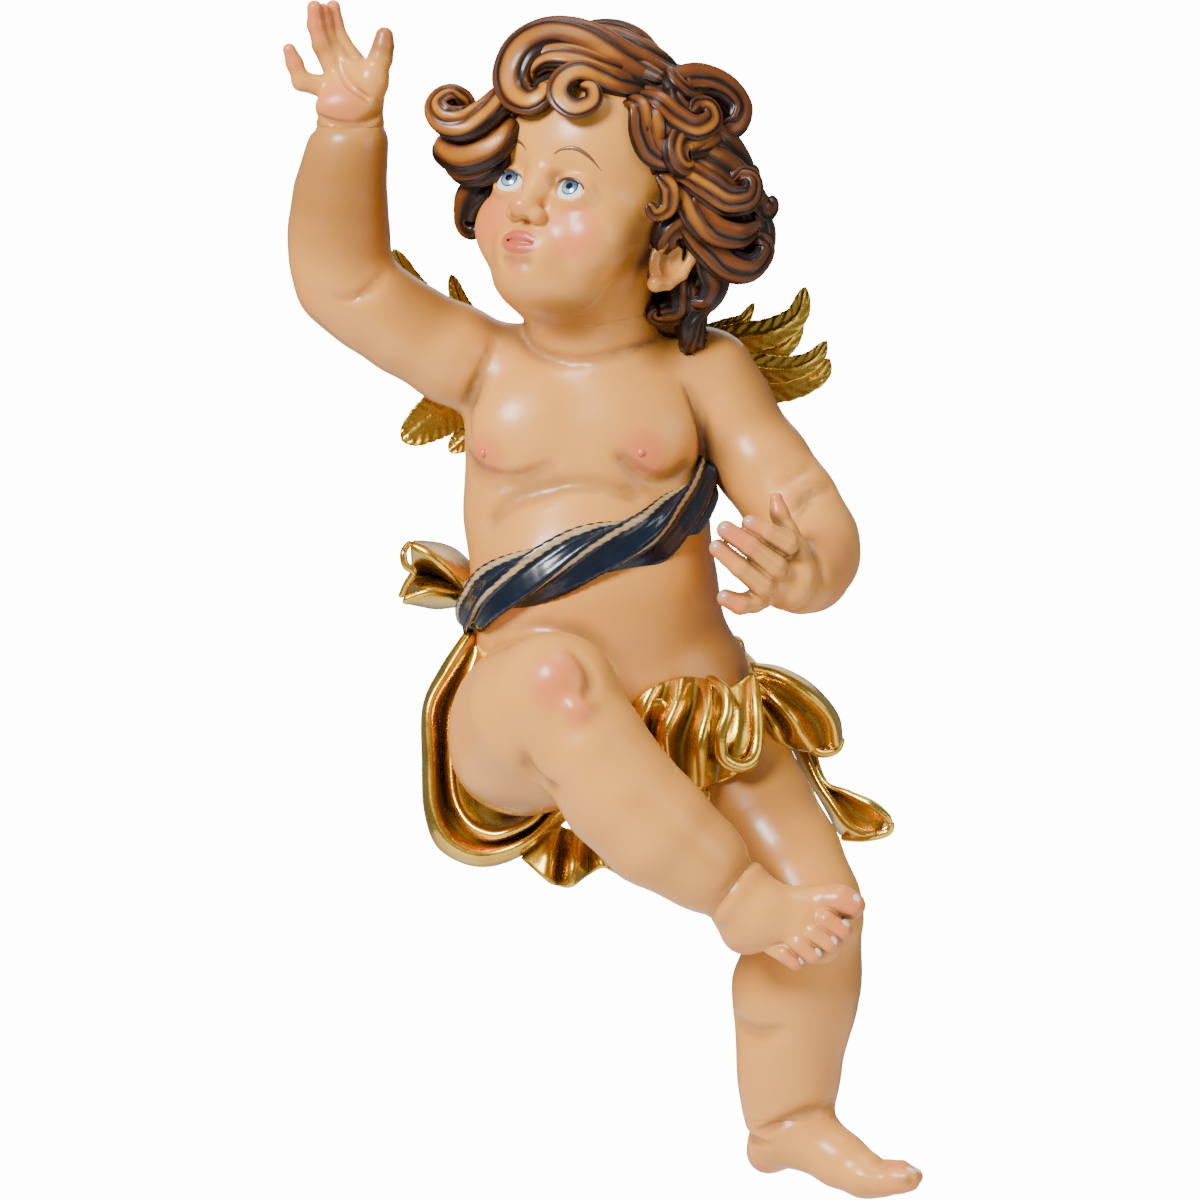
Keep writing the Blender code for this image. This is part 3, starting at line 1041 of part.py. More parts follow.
def cut_box(thing, low, high):
    """Take away the box between two corners, given in block units, with a flat face left on the part."""
    origin = np.array(WALL_SEAT_AT)
    low, high = (np.asarray(low, float) - origin) * UNIT, (np.asarray(high, float) - origin) * UNIT
    corners = np.array([[(low, high)[k][0], (low, high)[j][1], (low, high)[i][2]]
                        for i in (0, 1) for j in (0, 1) for k in (0, 1)])
    sides = np.array([(0, 2, 3, 1), (4, 5, 7, 6), (0, 1, 5, 4), (2, 6, 7, 3), (0, 4, 6, 2), (1, 3, 7, 5)])
    box = mesh_object("cutter", corners, sides, np.zeros((0, 3), int))
    box.hide_render = True
    box.display_type = "WIRE"
    cut = thing.modifiers.new("cut", "BOOLEAN")
    cut.operation, cut.solver, cut.object = "DIFFERENCE", "EXACT", box
    settled(thing)
    bpy.data.objects.remove(box)


def paint(thing, colour, rough, metal):
    material = bpy.data.materials.new(thing.name + "_finish")
    material.use_nodes = True
    shader = material.node_tree.nodes["Principled BSDF"]
    shader.inputs["Base Color"].default_value = (*colour, 1)
    shader.inputs["Roughness"].default_value = rough
    shader.inputs["Metallic"].default_value = metal
    thing.data.materials.clear()
    thing.data.materials.append(material)


def wing_root(side):
    """The swelling of a wing that sits on its flat: side -1 for the figure's right, 1 for its left."""
    rise = WING_SEAT_DEPTH / UNIT - WING_WALL_GAP / UNIT
    middle = np.array([WALL_SEAT_AT[0] + side * WING_ROOT_AT[0], -WING_SEAT_DEPTH / UNIT,
        WALL_SEAT_AT[2] + WING_ROOT_AT[1]])
    radii = np.array([WING_ROOT_WIDTH / 2 / UNIT, rise, WING_ROOT_HEIGHT / 2 / UNIT])
    block = Block(middle - radii - 6, middle + radii + 6, GRID_STEP / 2)
    block.add(egg(middle, radii), 0)
    return block.skin() + (NO_TRIS,)


def wall_swelling():
    """The mound of the wall seat: an egg that the wall plane cuts at the seat's width and height."""
    depth = WALL_SEAT_SWELL / UNIT
    reach = depth * 1.25
    grow = 1 / math.sqrt(1 - (depth / reach) ** 2)
    half = np.array([WALL_SEAT_WIDTH, WALL_SEAT_HEIGHT]) / 2 / UNIT * grow
    return egg((WALL_SEAT_AT[0], -depth, WALL_SEAT_AT[2]), (half[0], reach, half[1]))


NO_TRIS = np.zeros((0, 3), int)
flesh_block = Block(*BOUNDS, GRID_STEP)
for part in PARTS[:-1]:
    part(flesh_block)
cap(flesh_block)
for points, half, curl, face in locks(flesh_block):
    path = lock_path(points, curl, face, LOCK_STEPS)
    flesh_block.limb(np.c_[path, LOCK_BODY * lock_width(half, LOCK_STEPS)], 3.5, LOCK_STEPS)
features(flesh_block)
flesh_block.add(wall_swelling(), 10)
cloth_block = Block(*HIP_BOUNDS, GRID_STEP)
wrap(cloth_block)
skins = [flesh_block.skin() + (NO_TRIS,), cloth_block.skin() + (NO_TRIS,), sash(flesh_block, 160, 20)]
figure = carve("angel_figure", skins + cloth_shells(0.6, 1.5), FIGURE_FACES)
cut_box(figure, (-FAR_OUT, 0, -FAR_OUT), (FAR_OUT, FAR_OUT, FAR_OUT))
seat_y = -WING_SEAT_DEPTH / UNIT
inner = WALL_SEAT_WIDTH / 2 / UNIT + 1
for side in (-1, 1):
    edges = sorted((WALL_SEAT_AT[0] + side * inner, WALL_SEAT_AT[0] + side * WING_FLAT_REACH))
    cut_box(figure, (edges[0], seat_y, WING_FLAT[0]), (edges[1], 10, WING_FLAT[1]))
paint(figure, WOOD_FLESH, 0.4, 0.0)

for name, feathers, side in (("right_wing", RIGHT, -1), ("left_wing", LEFT, 1)):
    wing = carve(name, wing_shells(feathers, 0.7) + [wing_root(side)], WING_FACES)
    cut_box(wing, (-FAR_OUT, -FAR_OUT, -FAR_OUT), (FAR_OUT, seat_y + WING_GAP / UNIT, FAR_OUT))
    paint(wing, WOOD_GOLD, 0.35, 0.9)
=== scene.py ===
"""A carved wooden putto in flight: painted flesh, gilded wings and hip cloth, glazed hair and a twisted sash.

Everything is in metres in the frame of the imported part: the origin on the wall seat, +Y into the wall, +Z up.
The carving is worked out in block units, 1/600 of the height each: X to the viewer's right, Z up, Y into the
wall, the wall at Y = 0 and the middle of the height at Z = 0.
"""
import math
from functools import lru_cache, reduce

import bpy
import numpy as np
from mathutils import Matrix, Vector


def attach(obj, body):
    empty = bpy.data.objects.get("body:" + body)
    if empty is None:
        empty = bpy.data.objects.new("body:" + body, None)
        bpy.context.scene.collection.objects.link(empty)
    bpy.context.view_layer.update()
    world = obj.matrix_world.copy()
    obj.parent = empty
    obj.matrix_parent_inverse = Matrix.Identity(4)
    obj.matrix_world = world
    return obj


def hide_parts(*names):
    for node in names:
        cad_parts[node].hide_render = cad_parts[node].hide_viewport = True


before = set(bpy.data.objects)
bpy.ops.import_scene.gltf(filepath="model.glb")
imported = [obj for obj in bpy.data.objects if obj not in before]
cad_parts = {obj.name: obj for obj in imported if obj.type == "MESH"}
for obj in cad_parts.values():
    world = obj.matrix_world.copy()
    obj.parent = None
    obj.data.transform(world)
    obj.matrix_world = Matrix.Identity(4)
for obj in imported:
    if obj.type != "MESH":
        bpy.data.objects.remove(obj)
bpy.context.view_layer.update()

bl_info = {
    "name": "Carved putto",
    "version": (1, 0, 0),
    "blender": (4, 5, 0),
    "location": "3D View > Sidebar > Putto",
    "description": "A painted and gilded wooden putto for a wall, built round its packed solids",
    "category": "Add Mesh",
}

SEAT = np.array([-4.0, 0.0, 72.0])        # middle of the wall seat, block units
BLOCK_HEIGHT = 600.0                      # of the whole figure, block units
WING_FLAT_DEPTH = 20.0                    # from the wall to the flats that carry the wings
WING_FLAT = (18.0, 80.0, 60.0, 145.0)     # their reach to each side of the seat, and their lower and upper edge
WING_GAP = 0.3                            # between a wing and its flat
FRONT = (0, -1, 0)
FAR = 60.0                                # distance held where no wood is near
FIGURE_BOX = ((-165, -235, -305), (175, 14, 305))
HAIR_BOX = ((-95, -175, 110), (100, -5, 305))
NO_TRIS = np.zeros((0, 3), int)
FIGURE = ("angel_figure",)


def smooth_min(a, b, soft):
    """The lesser of two distances, with the corner between them rounded over a width of soft."""
    if soft <= 0:
        return np.minimum(a, b)
    near = np.maximum(soft - np.abs(a - b), 0.0) / soft
    return np.minimum(a, b) - near * near * soft * 0.25


def unit(v):
    v = np.asarray(v, float)
    return v / np.linalg.norm(v)


def ball(c, r):
    c = np.asarray(c, float)

    def distance(x, y, z):
        return np.sqrt((x - c[0]) ** 2 + (y - c[1]) ** 2 + (z - c[2]) ** 2) - r

    return c - r, c + r, distance


def egg(c, radii, axes=np.eye(3)):
    """An ellipsoid. axes holds its three directions as rows."""
    c, radii, axes = np.asarray(c, float), np.asarray(radii, float), np.asarray(axes, float)
    reach = np.sqrt(((axes * radii[:, None]) ** 2).sum(0))

    def distance(x, y, z):
        x, y, z = x - c[0], y - c[1], z - c[2]
        local = [a[0] * x + a[1] * y + a[2] * z for a in axes]
        k0 = np.sqrt(sum((p / r) ** 2 for p, r in zip(local, radii)))
        k1 = np.sqrt(sum((p / (r * r)) ** 2 for p, r in zip(local, radii)))
        return k0 * (k0 - 1.0) / np.maximum(k1, 1e-6)

    return c - reach, c + reach, distance


def brick(c, half):
    c, half = np.asarray(c, float), np.asarray(half, float)

    def distance(*place):
        x, y, z = (np.abs(v - m) - h for v, m, h in zip(place, c, half))
        out = np.sqrt(np.maximum(x, 0) ** 2 + np.maximum(y, 0) ** 2 + np.maximum(z, 0) ** 2)
        return out + np.minimum(np.maximum(x, np.maximum(y, z)), 0)

    return c - half, c + half, distance


def beyond(point, normal, centre=None, reach=400.0):
    """All that lies past a plane and within reach of a centre, the point unless another is given."""
    point, normal = np.asarray(point, float), unit(normal)
    centre = point if centre is None else np.asarray(centre, float)

    def distance(x, y, z):
        past = (x - point[0]) * normal[0] + (y - point[1]) * normal[1] + (z - point[2]) * normal[2]
        off = np.sqrt((x - centre[0]) ** 2 + (y - centre[1]) ** 2 + (z - centre[2]) ** 2) - reach
        return np.maximum(-past, off)

    return centre - reach, centre + reach, distance


def bone(a, b, ra, rb):
    """A round rod from a to b whose radius runs from ra to rb."""
    a, b = np.asarray(a, float), np.asarray(b, float)
    d = b - a
    dd = max(float(d @ d), 1e-9)

    def distance(x, y, z):
        x, y, z = x - a[0], y - a[1], z - a[2]
        t = np.clip((x * d[0] + y * d[1] + z * d[2]) / dd, 0.0, 1.0)
        return np.sqrt((x - t * d[0]) ** 2 + (y - t * d[1]) ** 2 + (z - t * d[2]) ** 2) - (ra + (rb - ra) * t)

    return np.minimum(a - ra, b - rb), np.maximum(a + ra, b + rb), distance


def ring(c, axis, big, small):
    """A torus about axis."""
    c, n = np.asarray(c, float), unit(axis)
    reach = big + small

    def distance(x, y, z):
        x, y, z = x - c[0], y - c[1], z - c[2]
        h = x * n[0] + y * n[1] + z * n[2]
        q = np.sqrt(np.maximum(x * x + y * y + z * z - h * h, 0.0))
        return np.sqrt((q - big) ** 2 + h * h) - small

    return c - reach, c + reach, distance


def curve(points, count):
    """Points along a Catmull-Rom curve through the given ones. Extra columns, such as radii, run along."""
    p = np.asarray(points, float)
    if len(p) == 2:
        t = np.linspace(0, 1, count)[:, None]
        return p[0] * (1 - t) + p[1] * t
    p = np.vstack([2 * p[0] - p[1], p, 2 * p[-1] - p[-2]])
    s = np.linspace(0, len(p) - 3 - 1e-9, count)
    i = s.astype(int)
    t = (s - i)[:, None]
    a, b, c, d = p[i], p[i + 1], p[i + 2], p[i + 3]
    return (2 * b + (c - a) * t + (2 * a - 5 * b + 4 * c - d) * t * t + (3 * b - a - 3 * c + d) * t ** 3) / 2


class Block:
    """A block as a grid of distances to the carved surface, negative inside it."""

    def __init__(self, low, high, step):
        self.low = np.asarray(low, float)
        self.step = step
        self.size = np.ceil((np.asarray(high, float) - self.low) / step).astype(int) + 1
        self.values = np.full(self.size, FAR, np.float32)

    def window(self, low, high, margin):
        first = np.clip(np.floor((low - margin - self.low) / self.step).astype(int), 0, self.size)
        last = np.clip(np.ceil((high + margin - self.low) / self.step).astype(int) + 1, 0, self.size)
        if (last <= first).any():
            return None, None
        x, y, z = (self.low[i] + self.step * np.arange(first[i], last[i]) for i in range(3))
        at = tuple(slice(a, b) for a, b in zip(first, last))
        return at, (x[:, None, None], y[None, :, None], z[None, None, :])

    def merge(self, shape, soft, sign):
        low, high, distance = shape
        at, grid = self.window(low, high, soft + 3 * self.step + 1.0)
        if at is not None:
            self.values[at] = sign * smooth_min(sign * self.values[at], distance(*grid), soft)

    def add(self, shape, soft):
        self.merge(shape, soft, 1)

    def cut(self, shape, soft):
        self.merge(shape, soft, -1)

    def eggs(self, *rows):
        """Ellipsoids: middle, half axes and softness of each."""
        for middle, radii, soft in rows:
            self.add(egg(middle, radii), soft)

    def limb(self, nodes, soft):
        """Rods through nodes of x, y, z and radius."""
        p = np.asarray(nodes, float)
        for a, b in zip(p[:-1], p[1:]):
            self.add(bone(a[:3], b[:3], a[3], b[3]), soft)

    def groove(self, nodes, soft, count=24):
        """A groove along a smooth path of x, y, z and radius. Its rods are joined first, so it bites once."""
        p = curve(nodes, count)
        rods = [bone(a[:3], b[:3], a[3], b[3])[2] for a, b in zip(p[:-1], p[1:])]
        self.cut(((p[:, :3] - p[:, 3:]).min(0), (p[:, :3] + p[:, 3:]).max(0),
                  lambda *grid: reduce(np.minimum, (rod(*grid) for rod in rods))), soft)

    def crease(self, places, soft):
        """A groove under places on the front elevation with their radii."""
        self.groove(on_front(self, places), soft)

    def sample(self, points):
        """The distance at each point, read between the grid's eight nearest values."""
        q = (np.asarray(points, float) - self.low) / self.step
        i = np.clip(q.astype(int), 0, self.size - 2)
        f = np.clip(q - i, 0, 1)
        v = 0
        for dx in (0, 1):
            for dy in (0, 1):
                for dz in (0, 1):
                    w = np.abs(1 - dx - f[:, 0]) * np.abs(1 - dy - f[:, 1]) * np.abs(1 - dz - f[:, 2])
                    v = v + w * self.values[i[:, 0] + dx, i[:, 1] + dy, i[:, 2] + dz]
        return v

    def gradient(self, points, reach=None):
        e = reach or self.step
        g = np.stack([self.sample(points + e * d) - self.sample(points - e * d) for d in np.eye(3)], 1)
        return g / np.maximum(np.linalg.norm(g, axis=1, keepdims=True), 1e-9)

    def skin(self):
        """Vertices and quads of the surface: one vertex in each cell that it crosses, at the mean of its
        crossings of the cell's edges, and one quad round each edge of the grid that it crosses."""
        inside = self.values < 0
        stride = np.array([self.size[1] * self.size[2], self.size[2], 1])
        cells, spots, flips = [], [], []
        for axis in range(3):
            a, b = [slice(None)] * 3, [slice(None)] * 3
            a[axis], b[axis] = slice(None, -1), slice(1, None)
            near = np.argwhere(inside[tuple(a)] != inside[tuple(b)])
            near = near[(near > 0).all(1) & (near < self.size - 2).all(1)]
            here = self.values[near[:, 0], near[:, 1], near[:, 2]]
            ahead = near.copy()
            ahead[:, axis] += 1
            there = self.values[ahead[:, 0], ahead[:, 1], ahead[:, 2]]
            spot = near.astype(float)
            spot[:, axis] += here / (here - there)
            u, v = stride[(axis + 1) % 3], stride[(axis + 2) % 3]
            flat = near @ stride
            cells.append(np.stack([flat, flat - u, flat - u - v, flat - v], 1))
            spots.append(spot)
            flips.append(here < 0)
        cells, spots, flips = np.vstack(cells), np.vstack(spots), np.concatenate(flips)
        index = np.unique(cells, return_inverse=True)[1].reshape(-1)
        counts = np.bincount(index)
        verts = np.stack([np.bincount(index, np.repeat(spots[:, i], 4)) / counts for i in range(3)], 1)
        quads = index.reshape(-1, 4)
        quads = np.where(flips[:, None], quads, quads[:, ::-1])
        return self.low + verts * self.step, quads


def at(px, py, y):
    """Block point of a place on the front elevation, counted in half units from its upper left, at depth y."""
    return np.array([(px - 600) / 2, y, (600 - py) / 2], float)


def even(points, count):
    """A smooth path through the points, its steps even."""
    fine = curve(np.asarray(points, float), count * 4)
    run = np.r_[0, np.cumsum(np.linalg.norm(np.diff(fine[:, :3], axis=0), axis=1))]
    s = np.linspace(0, run[-1], count)
    return np.stack([np.interp(s, run, fine[:, k]) for k in range(fine.shape[1])], axis=1)


def rows_unit(v):
    return v / np.maximum(np.linalg.norm(v, axis=-1, keepdims=True), 1e-9)


def square_to(t, out):
    """The directions out, set square to the tangents t, and those across both."""
    n = rows_unit(out - (out * t).sum(1, keepdims=True) * t)
    return n, np.cross(t, n)


CURL_STEPS = 14           # to a turn of a curl
CURL_RISE = 2.5           # outwards in a turn
CURL_CLOSING = 0.78       # share of its radius that a curl loses


def curled(points, out, size, turns, sign):
    """The points with a spiral at their end, in the plane across out."""
    t = unit(points[-1] - points[-2])
    n = unit(out - out @ t * t)
    side = np.cross(t, n) * sign
    whole, count = turns * 2 * math.pi, int(CURL_STEPS * turns)
    p, more = points[-1], []
    for k in range(count):
        angle = whole * (k + 0.5) / count
        radius = size * (1 - CURL_CLOSING * angle / whole)
        p = p + (math.cos(angle) * t + math.sin(angle) * side) * radius * whole / count
        p = p + n * CURL_RISE * whole / count / (2 * math.pi)
        more.append(p)
    return np.vstack([points, more])


def grooved(a, strands):
    """One in the grooves between uneven strands round a lock, falling off to nothing on their crests."""
    return (1 - np.abs(np.sin((a + 0.45 * np.sin(a)) * strands / 2))) ** 2 if strands else 0.0 * a


def tube(rows, cols):
    """Quads round a tube of rows of points, and the triangles from its ends to the two points after them."""
    i = np.arange(rows - 1)[:, None] * cols
    j = np.arange(cols)[None]
    k = (j + 1) % cols
    quads = np.stack([i + j, i + cols + j, i + cols + k, i + k], axis=-1).reshape(-1, 4)
    j, k = j[0], k[0]
    low, high, last = rows * cols, rows * cols + 1, (rows - 1) * cols
    return quads, np.vstack([np.stack([np.full(cols, low), j, k], 1),
                             np.stack([np.full(cols, high), last + k, last + j], 1)])


def sweep(path, half, thick, out, cols, fold=None, strands=0, deep=0.0, drift=0.0):
    """Closed surface: P(s, a) = path(s) + B half cos a + N (thick sin a + fold(s, cos a)), less grooves."""
    rows = len(path)
    s = np.linspace(0, 1, rows)
    half, thick = np.broadcast_to(half, (rows,)), np.broadcast_to(thick, (rows,))
    n, b = square_to(rows_unit(np.gradient(path, axis=0)), np.broadcast_to(np.asarray(out, float), path.shape))
    a = np.arange(cols) * (2 * math.pi / cols)
    scale = 1 - deep * grooved(a[None] + drift * s[:, None], strands)
    across = half[:, None] * np.cos(a)[None] * scale
    up = thick[:, None] * np.sin(a)[None] * scale
    if fold is not None:
        up = up + fold(s[:, None], np.cos(a)[None])
    ringed = path[:, None] + b[:, None] * across[..., None] + n[:, None] * up[..., None]
    return (np.vstack([ringed.reshape(-1, 3), ringed[0].mean(0), ringed[-1].mean(0)]), *tube(rows, cols))


def loop(path, half, thick, out, cols, shape):
    """Closed ring surface along a closed path, its round swollen by shape(s, a)."""
    rows = len(path)
    n, b = square_to(rows_unit(np.roll(path, -1, 0) - np.roll(path, 1, 0)), out)
    a = np.arange(cols) * (2 * math.pi / cols)
    scale = shape(np.linspace(0, 1, rows, endpoint=False)[:, None], a[None])
    ringed = (path[:, None] + b[:, None] * (half * np.cos(a)[None] * scale)[..., None] + n[:,
        None] * (thick * np.sin(a)[None] * scale)[..., None])
    i, j = np.arange(rows)[:, None], np.arange(cols)[None]
    k, m = (j + 1) % cols, (i + 1) % rows
    quads = np.stack([i * cols + j, m * cols + j, m * cols + k, i * cols + k], axis=-1).reshape(-1, 4)
    return ringed.reshape(-1, 3), quads, NO_TRIS


def merged(shells):
    """Several shells as one."""
    verts, quads, tris = zip(*shells)
    first = np.cumsum([0] + [len(v) for v in verts])
    return np.vstack(verts), *(np.vstack([face + n for face, n in zip(faces, first)]) for faces in (quads, tris))


def ends(s, start, finish, peak, round_=0.06):
    """Width along a strip: from start to one at the peak and to finish, rounded off at both ends."""
    w = np.where(s < peak, start + (1 - start) * np.sin(np.clip(s / peak, 0, 1) * math.pi / 2),
                 finish + (1 - finish) * np.cos(np.clip((s - peak) / (1 - peak), 0, 1) * math.pi / 2))
    cap = np.sqrt(np.clip(1 - (1 - np.clip(np.minimum(s, 1 - s) / round_, 0, 1)) ** 2, 0.0016, 1))
    return w * cap


# the head: its middle, how far it is turned, raised and tilted, and its directions to the side, up and forwards
HEAD = np.array([-2.0, -94.0, 216.0])
HEAD_TURN = (32.0, 17.5, 8.5)


def head_axes(turn):
    y, p, r = (math.radians(a) for a in turn)
    f = np.array([-math.sin(y) * math.cos(p), -math.cos(y) * math.cos(p), math.sin(p)])
    side = np.array([math.cos(y), -math.sin(y), 0.0])
    s = side * math.cos(r) - np.cross(f, side) * math.sin(r)
    return np.stack([s, np.cross(f, s), f])


AXES = head_axes(HEAD_TURN)


def H(s, u, f):
    """Block points for places in the head's frame."""
    return HEAD + np.stack([s, u, f], -1) @ AXES


def in_head(verts):
    """To the side, up and forwards in the head's frame, for block points."""
    return ((verts - HEAD) @ AXES.T).T


def on_head(nodes, side=1):
    """Nodes of x, y, z and radius for nodes in the head's frame, on either side of it."""
    return [np.r_[H(side * s, u, f), r] for s, u, f, r in nodes]


def head_eggs(b, *rows):
    """Ellipsoids along the head's axes: place in its frame, half axes and softness of each."""
    for place, radii, soft in rows:
        b.add(egg(H(*place), radii, AXES), soft)


def on_front(b, places):
    """Block points where the view line of each front place meets the wood, with the radius kept."""
    depth = np.arange(-200.0, -40.0, 1.0)
    out = []
    for px, py, r in places:
        line = np.stack([np.full(len(depth), (px - 600) / 2), depth, np.full(len(depth), (600 - py) / 2)], 1)
        inside = b.sample(line) < 0
        out.append((line[0, 0], depth[np.argmax(inside)] if inside.any() else -80.0, line[0, 2], r))
    return out


def torso(b):
    b.add(egg((-7, -68, 86), (61, 42, 52)), 0)
    b.add(bone((-42, -66, 113), (44, -66, 111), 25, 25), 14)      # shoulder girdle
    b.eggs(((-7, -72, 44), (62, 45, 50), 18), ((-2, -76, 4), (62, 48, 46), 18), ((14, -72, -38), (61, 45, 42), 16),
           ((18, -64, -60), (54, 42, 34), 12), ((-36, -94, 84), (27, 17, 25), 16), ((17, -95, 84), (30, 17, 25), 16),
           ((-6, -106, 2), (44, 22, 38), 24), ((-31, -74, -20), (31, 34, 30), 14))
    for side in (-1, 1):
        b.add(egg((16 + side * 26, -48, -62), (28, 26, 30)), 10)      # seat of the body
        b.add(egg((-4 + side * 34, -33, 112), (26, 17, 28)), 10)      # shoulder blades
    for crease, soft in CHEST_CREASES:
        b.crease(crease, soft)
    b.groove([(-8, -20, 110, 2.0), (-6, -22, 60, 3.0), (4, -24, 0, 2.0)], 12)
    b.groove([(17, -24, -44, 2.0), (18, -22, -64, 4.0), (20, -30, -88, 3.0)], 6)
    # neck
    b.add(bone((0, -72, 112), (-4, -84, 160), 33, 32), 8)
    b.crease(((522, 334, 0.2), (536, 350, 0.8), (562, 360, 1.1), (592, 361, 1.1), (624, 352, 0.9), (656, 338, 0.3)),
             6)


# creases under the breast and below it, as front places with radii, and how soft each is
CHEST_CREASES = ((((470, 462, 0.8), (482, 474, 2.0), (500, 481, 2.6), (522, 480, 2.2), (548, 468, 0.8)), 8),
                 (((622, 460, 0.8), (640, 476, 2.2), (656, 484, 2.6), (672, 480, 2.0), (686, 466, 0.8)), 8),
                 (((492, 520, 0.6), (512, 502, 1.4), (540, 492, 1.5), (572, 484, 1.1), (604, 486, 0.8),
                   (634, 496, 0.4)), 8),)


def right_arm(b):
    b.limb([(-50, -68, 113, 24), (-74, -73, 124, 24), (-98, -76, 137, 22.5), (-116, -79, 149, 22.5),
            (-129, -81, 160, 22.5)], 8)
    b.limb([(-129, -81, 160, 22.5), (-131, -84, 174, 23.5), (-131, -88, 188, 23.4), (-130, -93, 205, 21.5),
            (-127, -98, 222, 18.8), (-124.5, -101, 232, 18.3)], 8)
    b.add(bone((-125, -102, 236), (-124, -104, 246), 15.5, 14.5), 3)

    b.crease(((494, 344, 0.5), (484, 366, 1.4), (474, 390, 1.6), (469, 414, 1.4), (470, 440, 0.5)), 5)


def right_hand(b):
    b.eggs(((-124, -105, 249), (15.5, 10.5, 12), 5), ((-129, -111, 246), (13, 7.5, 9.5), 4),
           ((-121, -105, 259), (15, 8.5, 11), 5), ((-114, -111, 259), (9.0, 8.5, 10.5), 3))
    b.limb([(-113, -110, 262, 7.0), (-109.5, -112, 270, 6.0), (-108, -113, 276, 5.2), (-107.5, -113, 281, 4.6)], 2)
    b.limb([(-136, -103, 256, 6), (-149, -106, 259, 4.6), (-152.5, -108, 268, 4.0), (-155, -110, 274.5, 3.3)], 2.5)
    b.limb([(-131, -103, 262, 6), (-139, -105, 277, 4.6), (-142, -108, 287, 4.1), (-142.5, -111, 295.5, 3.7)], 2)
    b.limb([(-127, -104, 264, 6), (-136, -101, 279, 4.7), (-138, -103, 289, 4.1), (-138.5, -105, 294.5, 3.6)], 2)
    b.limb([(-121, -100, 266, 6), (-130, -97, 279, 4.9), (-133, -97, 289, 4.3), (-133.5, -99, 296.5, 3.7)], 2)
    b.crease(((338, 58, 0.6), (343, 74, 1.6), (354, 90, 1.8), (368, 100, 0.6)), 3)
    b.crease(((322, 119, 0.8), (338, 126, 1.8), (358, 127, 2.0), (374, 119, 1.6), (383, 109, 0.6)), 3)


def left_arm(b):
    b.limb([(54, -68, 112, 25), (62, -70, 100, 22), (68, -73, 90, 20.5), (82, -77, 68, 22.5), (96, -82, 48, 22.5),
            (106, -88, 30, 22.5)], 8)
    b.limb([(106, -88, 30, 22.5), (106, -100, 22, 22.5), (103, -116, 15, 20.5), (99, -130, 11, 16.5),
            (96, -136, 10, 15)], 7)
    b.crease(((688, 388, 0.8), (694, 404, 2.0), (700, 424, 2.4), (704, 448, 1.6)), 4)
    b.crease(((790, 528, 0.6), (798, 510, 1.5), (808, 498, 1.8), (820, 491, 1.0), (830, 489, 0.3)), 5)
    b.crease(((780, 488, 0.4), (790, 480, 1.0), (802, 472, 1.0), (812, 466, 0.4)), 4)


def left_hand(b):
    b.add(egg((92, -144, 11), (16, 10, 16), unit_rows((0.82, -0.5, 0.1), (0.5, 0.82, 0), (-0.1, 0, 1))), 4)
    b.add(egg((83, -149, 14), (13, 8.5, 14), unit_rows((0.82, -0.5, 0.1), (0.5, 0.82, 0), (-0.1, 0, 1))), 4)
    b.limb([(97, -147, 24, 7), (92, -150, 34, 5.4), (88.5, -152, 43, 4.3), (87, -152, 50, 3.2)], 3)
    b.limb([(88, -152, 26, 7), (92, -158, 28, 6.0), (82, -163, 33.5, 5.2), (74, -164, 37.5, 4.5)], 1.2)
    b.limb([(83, -153, 18, 7), (86, -160, 17, 6.2), (74, -166, 26.5, 5.2), (62, -166, 34.5, 4.7)], 1.2)
    b.limb([(80, -152, 10, 7), (80, -159, 7.5, 6.0), (69, -165, 16, 5.0), (58, -165, 25.5, 4.4)], 1.2)
    b.limb([(80, -148, 2, 6.5), (76, -154, -0.5, 5.8), (69, -159, -2, 5.2), (62, -161, 1, 4.5)], 1.6)


def unit_rows(*rows):
    return np.stack([unit(r) for r in rows])


def right_leg(b):
    b.limb([(-14, -84, -54, 38), (-28, -108, -61, 40), (-32, -130, -62, 40), (-28, -152, -55, 35),
            (-22, -166, -46, 30)], 10)
    b.add(ball((-42, -120, -75), 31), 10)               # underside of the thigh
    b.add(egg((-22, -185, -39), (13.5, 12.5, 14)), 5)       # kneecap
    b.limb([(-20, -166, -48, 27), (-4, -172, -74, 27), (10, -172, -95, 28), (28, -170, -113, 27.5),
            (48, -166, -128, 22.5), (63, -163, -141, 18.5)], 8)
    b.add(egg((-11, -193, -54), (9, 8, 8.5)), 4)
    b.crease(((574, 652, 0.5), (588, 668, 1.8), (592, 684, 2.0), (586, 694, 1.2)), 5)
    b.crease(((526, 752, 0.8), (532, 768, 2.6), (546, 780, 2.6), (558, 784, 0.8)), 6)
    b.limb([(70, -163, -147, 17.5), (82, -166, -155, 16), (98, -168, -159, 14.5)], 5)
    b.add(ball((72, -158, -162), 13), 6)
    b.add(egg((104, -168, -160), (15, 11, 20), unit_rows((1, 0, 0.5), (0, 1, 0), (-0.5, 0, 1))), 6)


def right_toes(b):
    b.limb([(110, -171, -148, 8.2), (118, -173, -148, 7.6), (123.5, -174, -150, 7.0)], 3)
    b.limb([(104, -172, -153, 5.8), (111, -179, -157, 5.0), (119, -179, -162, 4.7)], 1.0)
    b.limb([(97, -172, -159, 5.6), (104.5, -179, -163, 4.9), (112.5, -179, -168.5, 4.6)], 1.0)
    b.limb([(91, -171, -164.5, 5.4), (97.5, -178, -168.5, 4.7), (104.5, -178, -174.5, 4.4)], 1.0)
    b.limb([(85, -169, -170, 5.0), (90.5, -175, -173.5, 4.4), (96, -175, -178, 4.0)], 1.0)


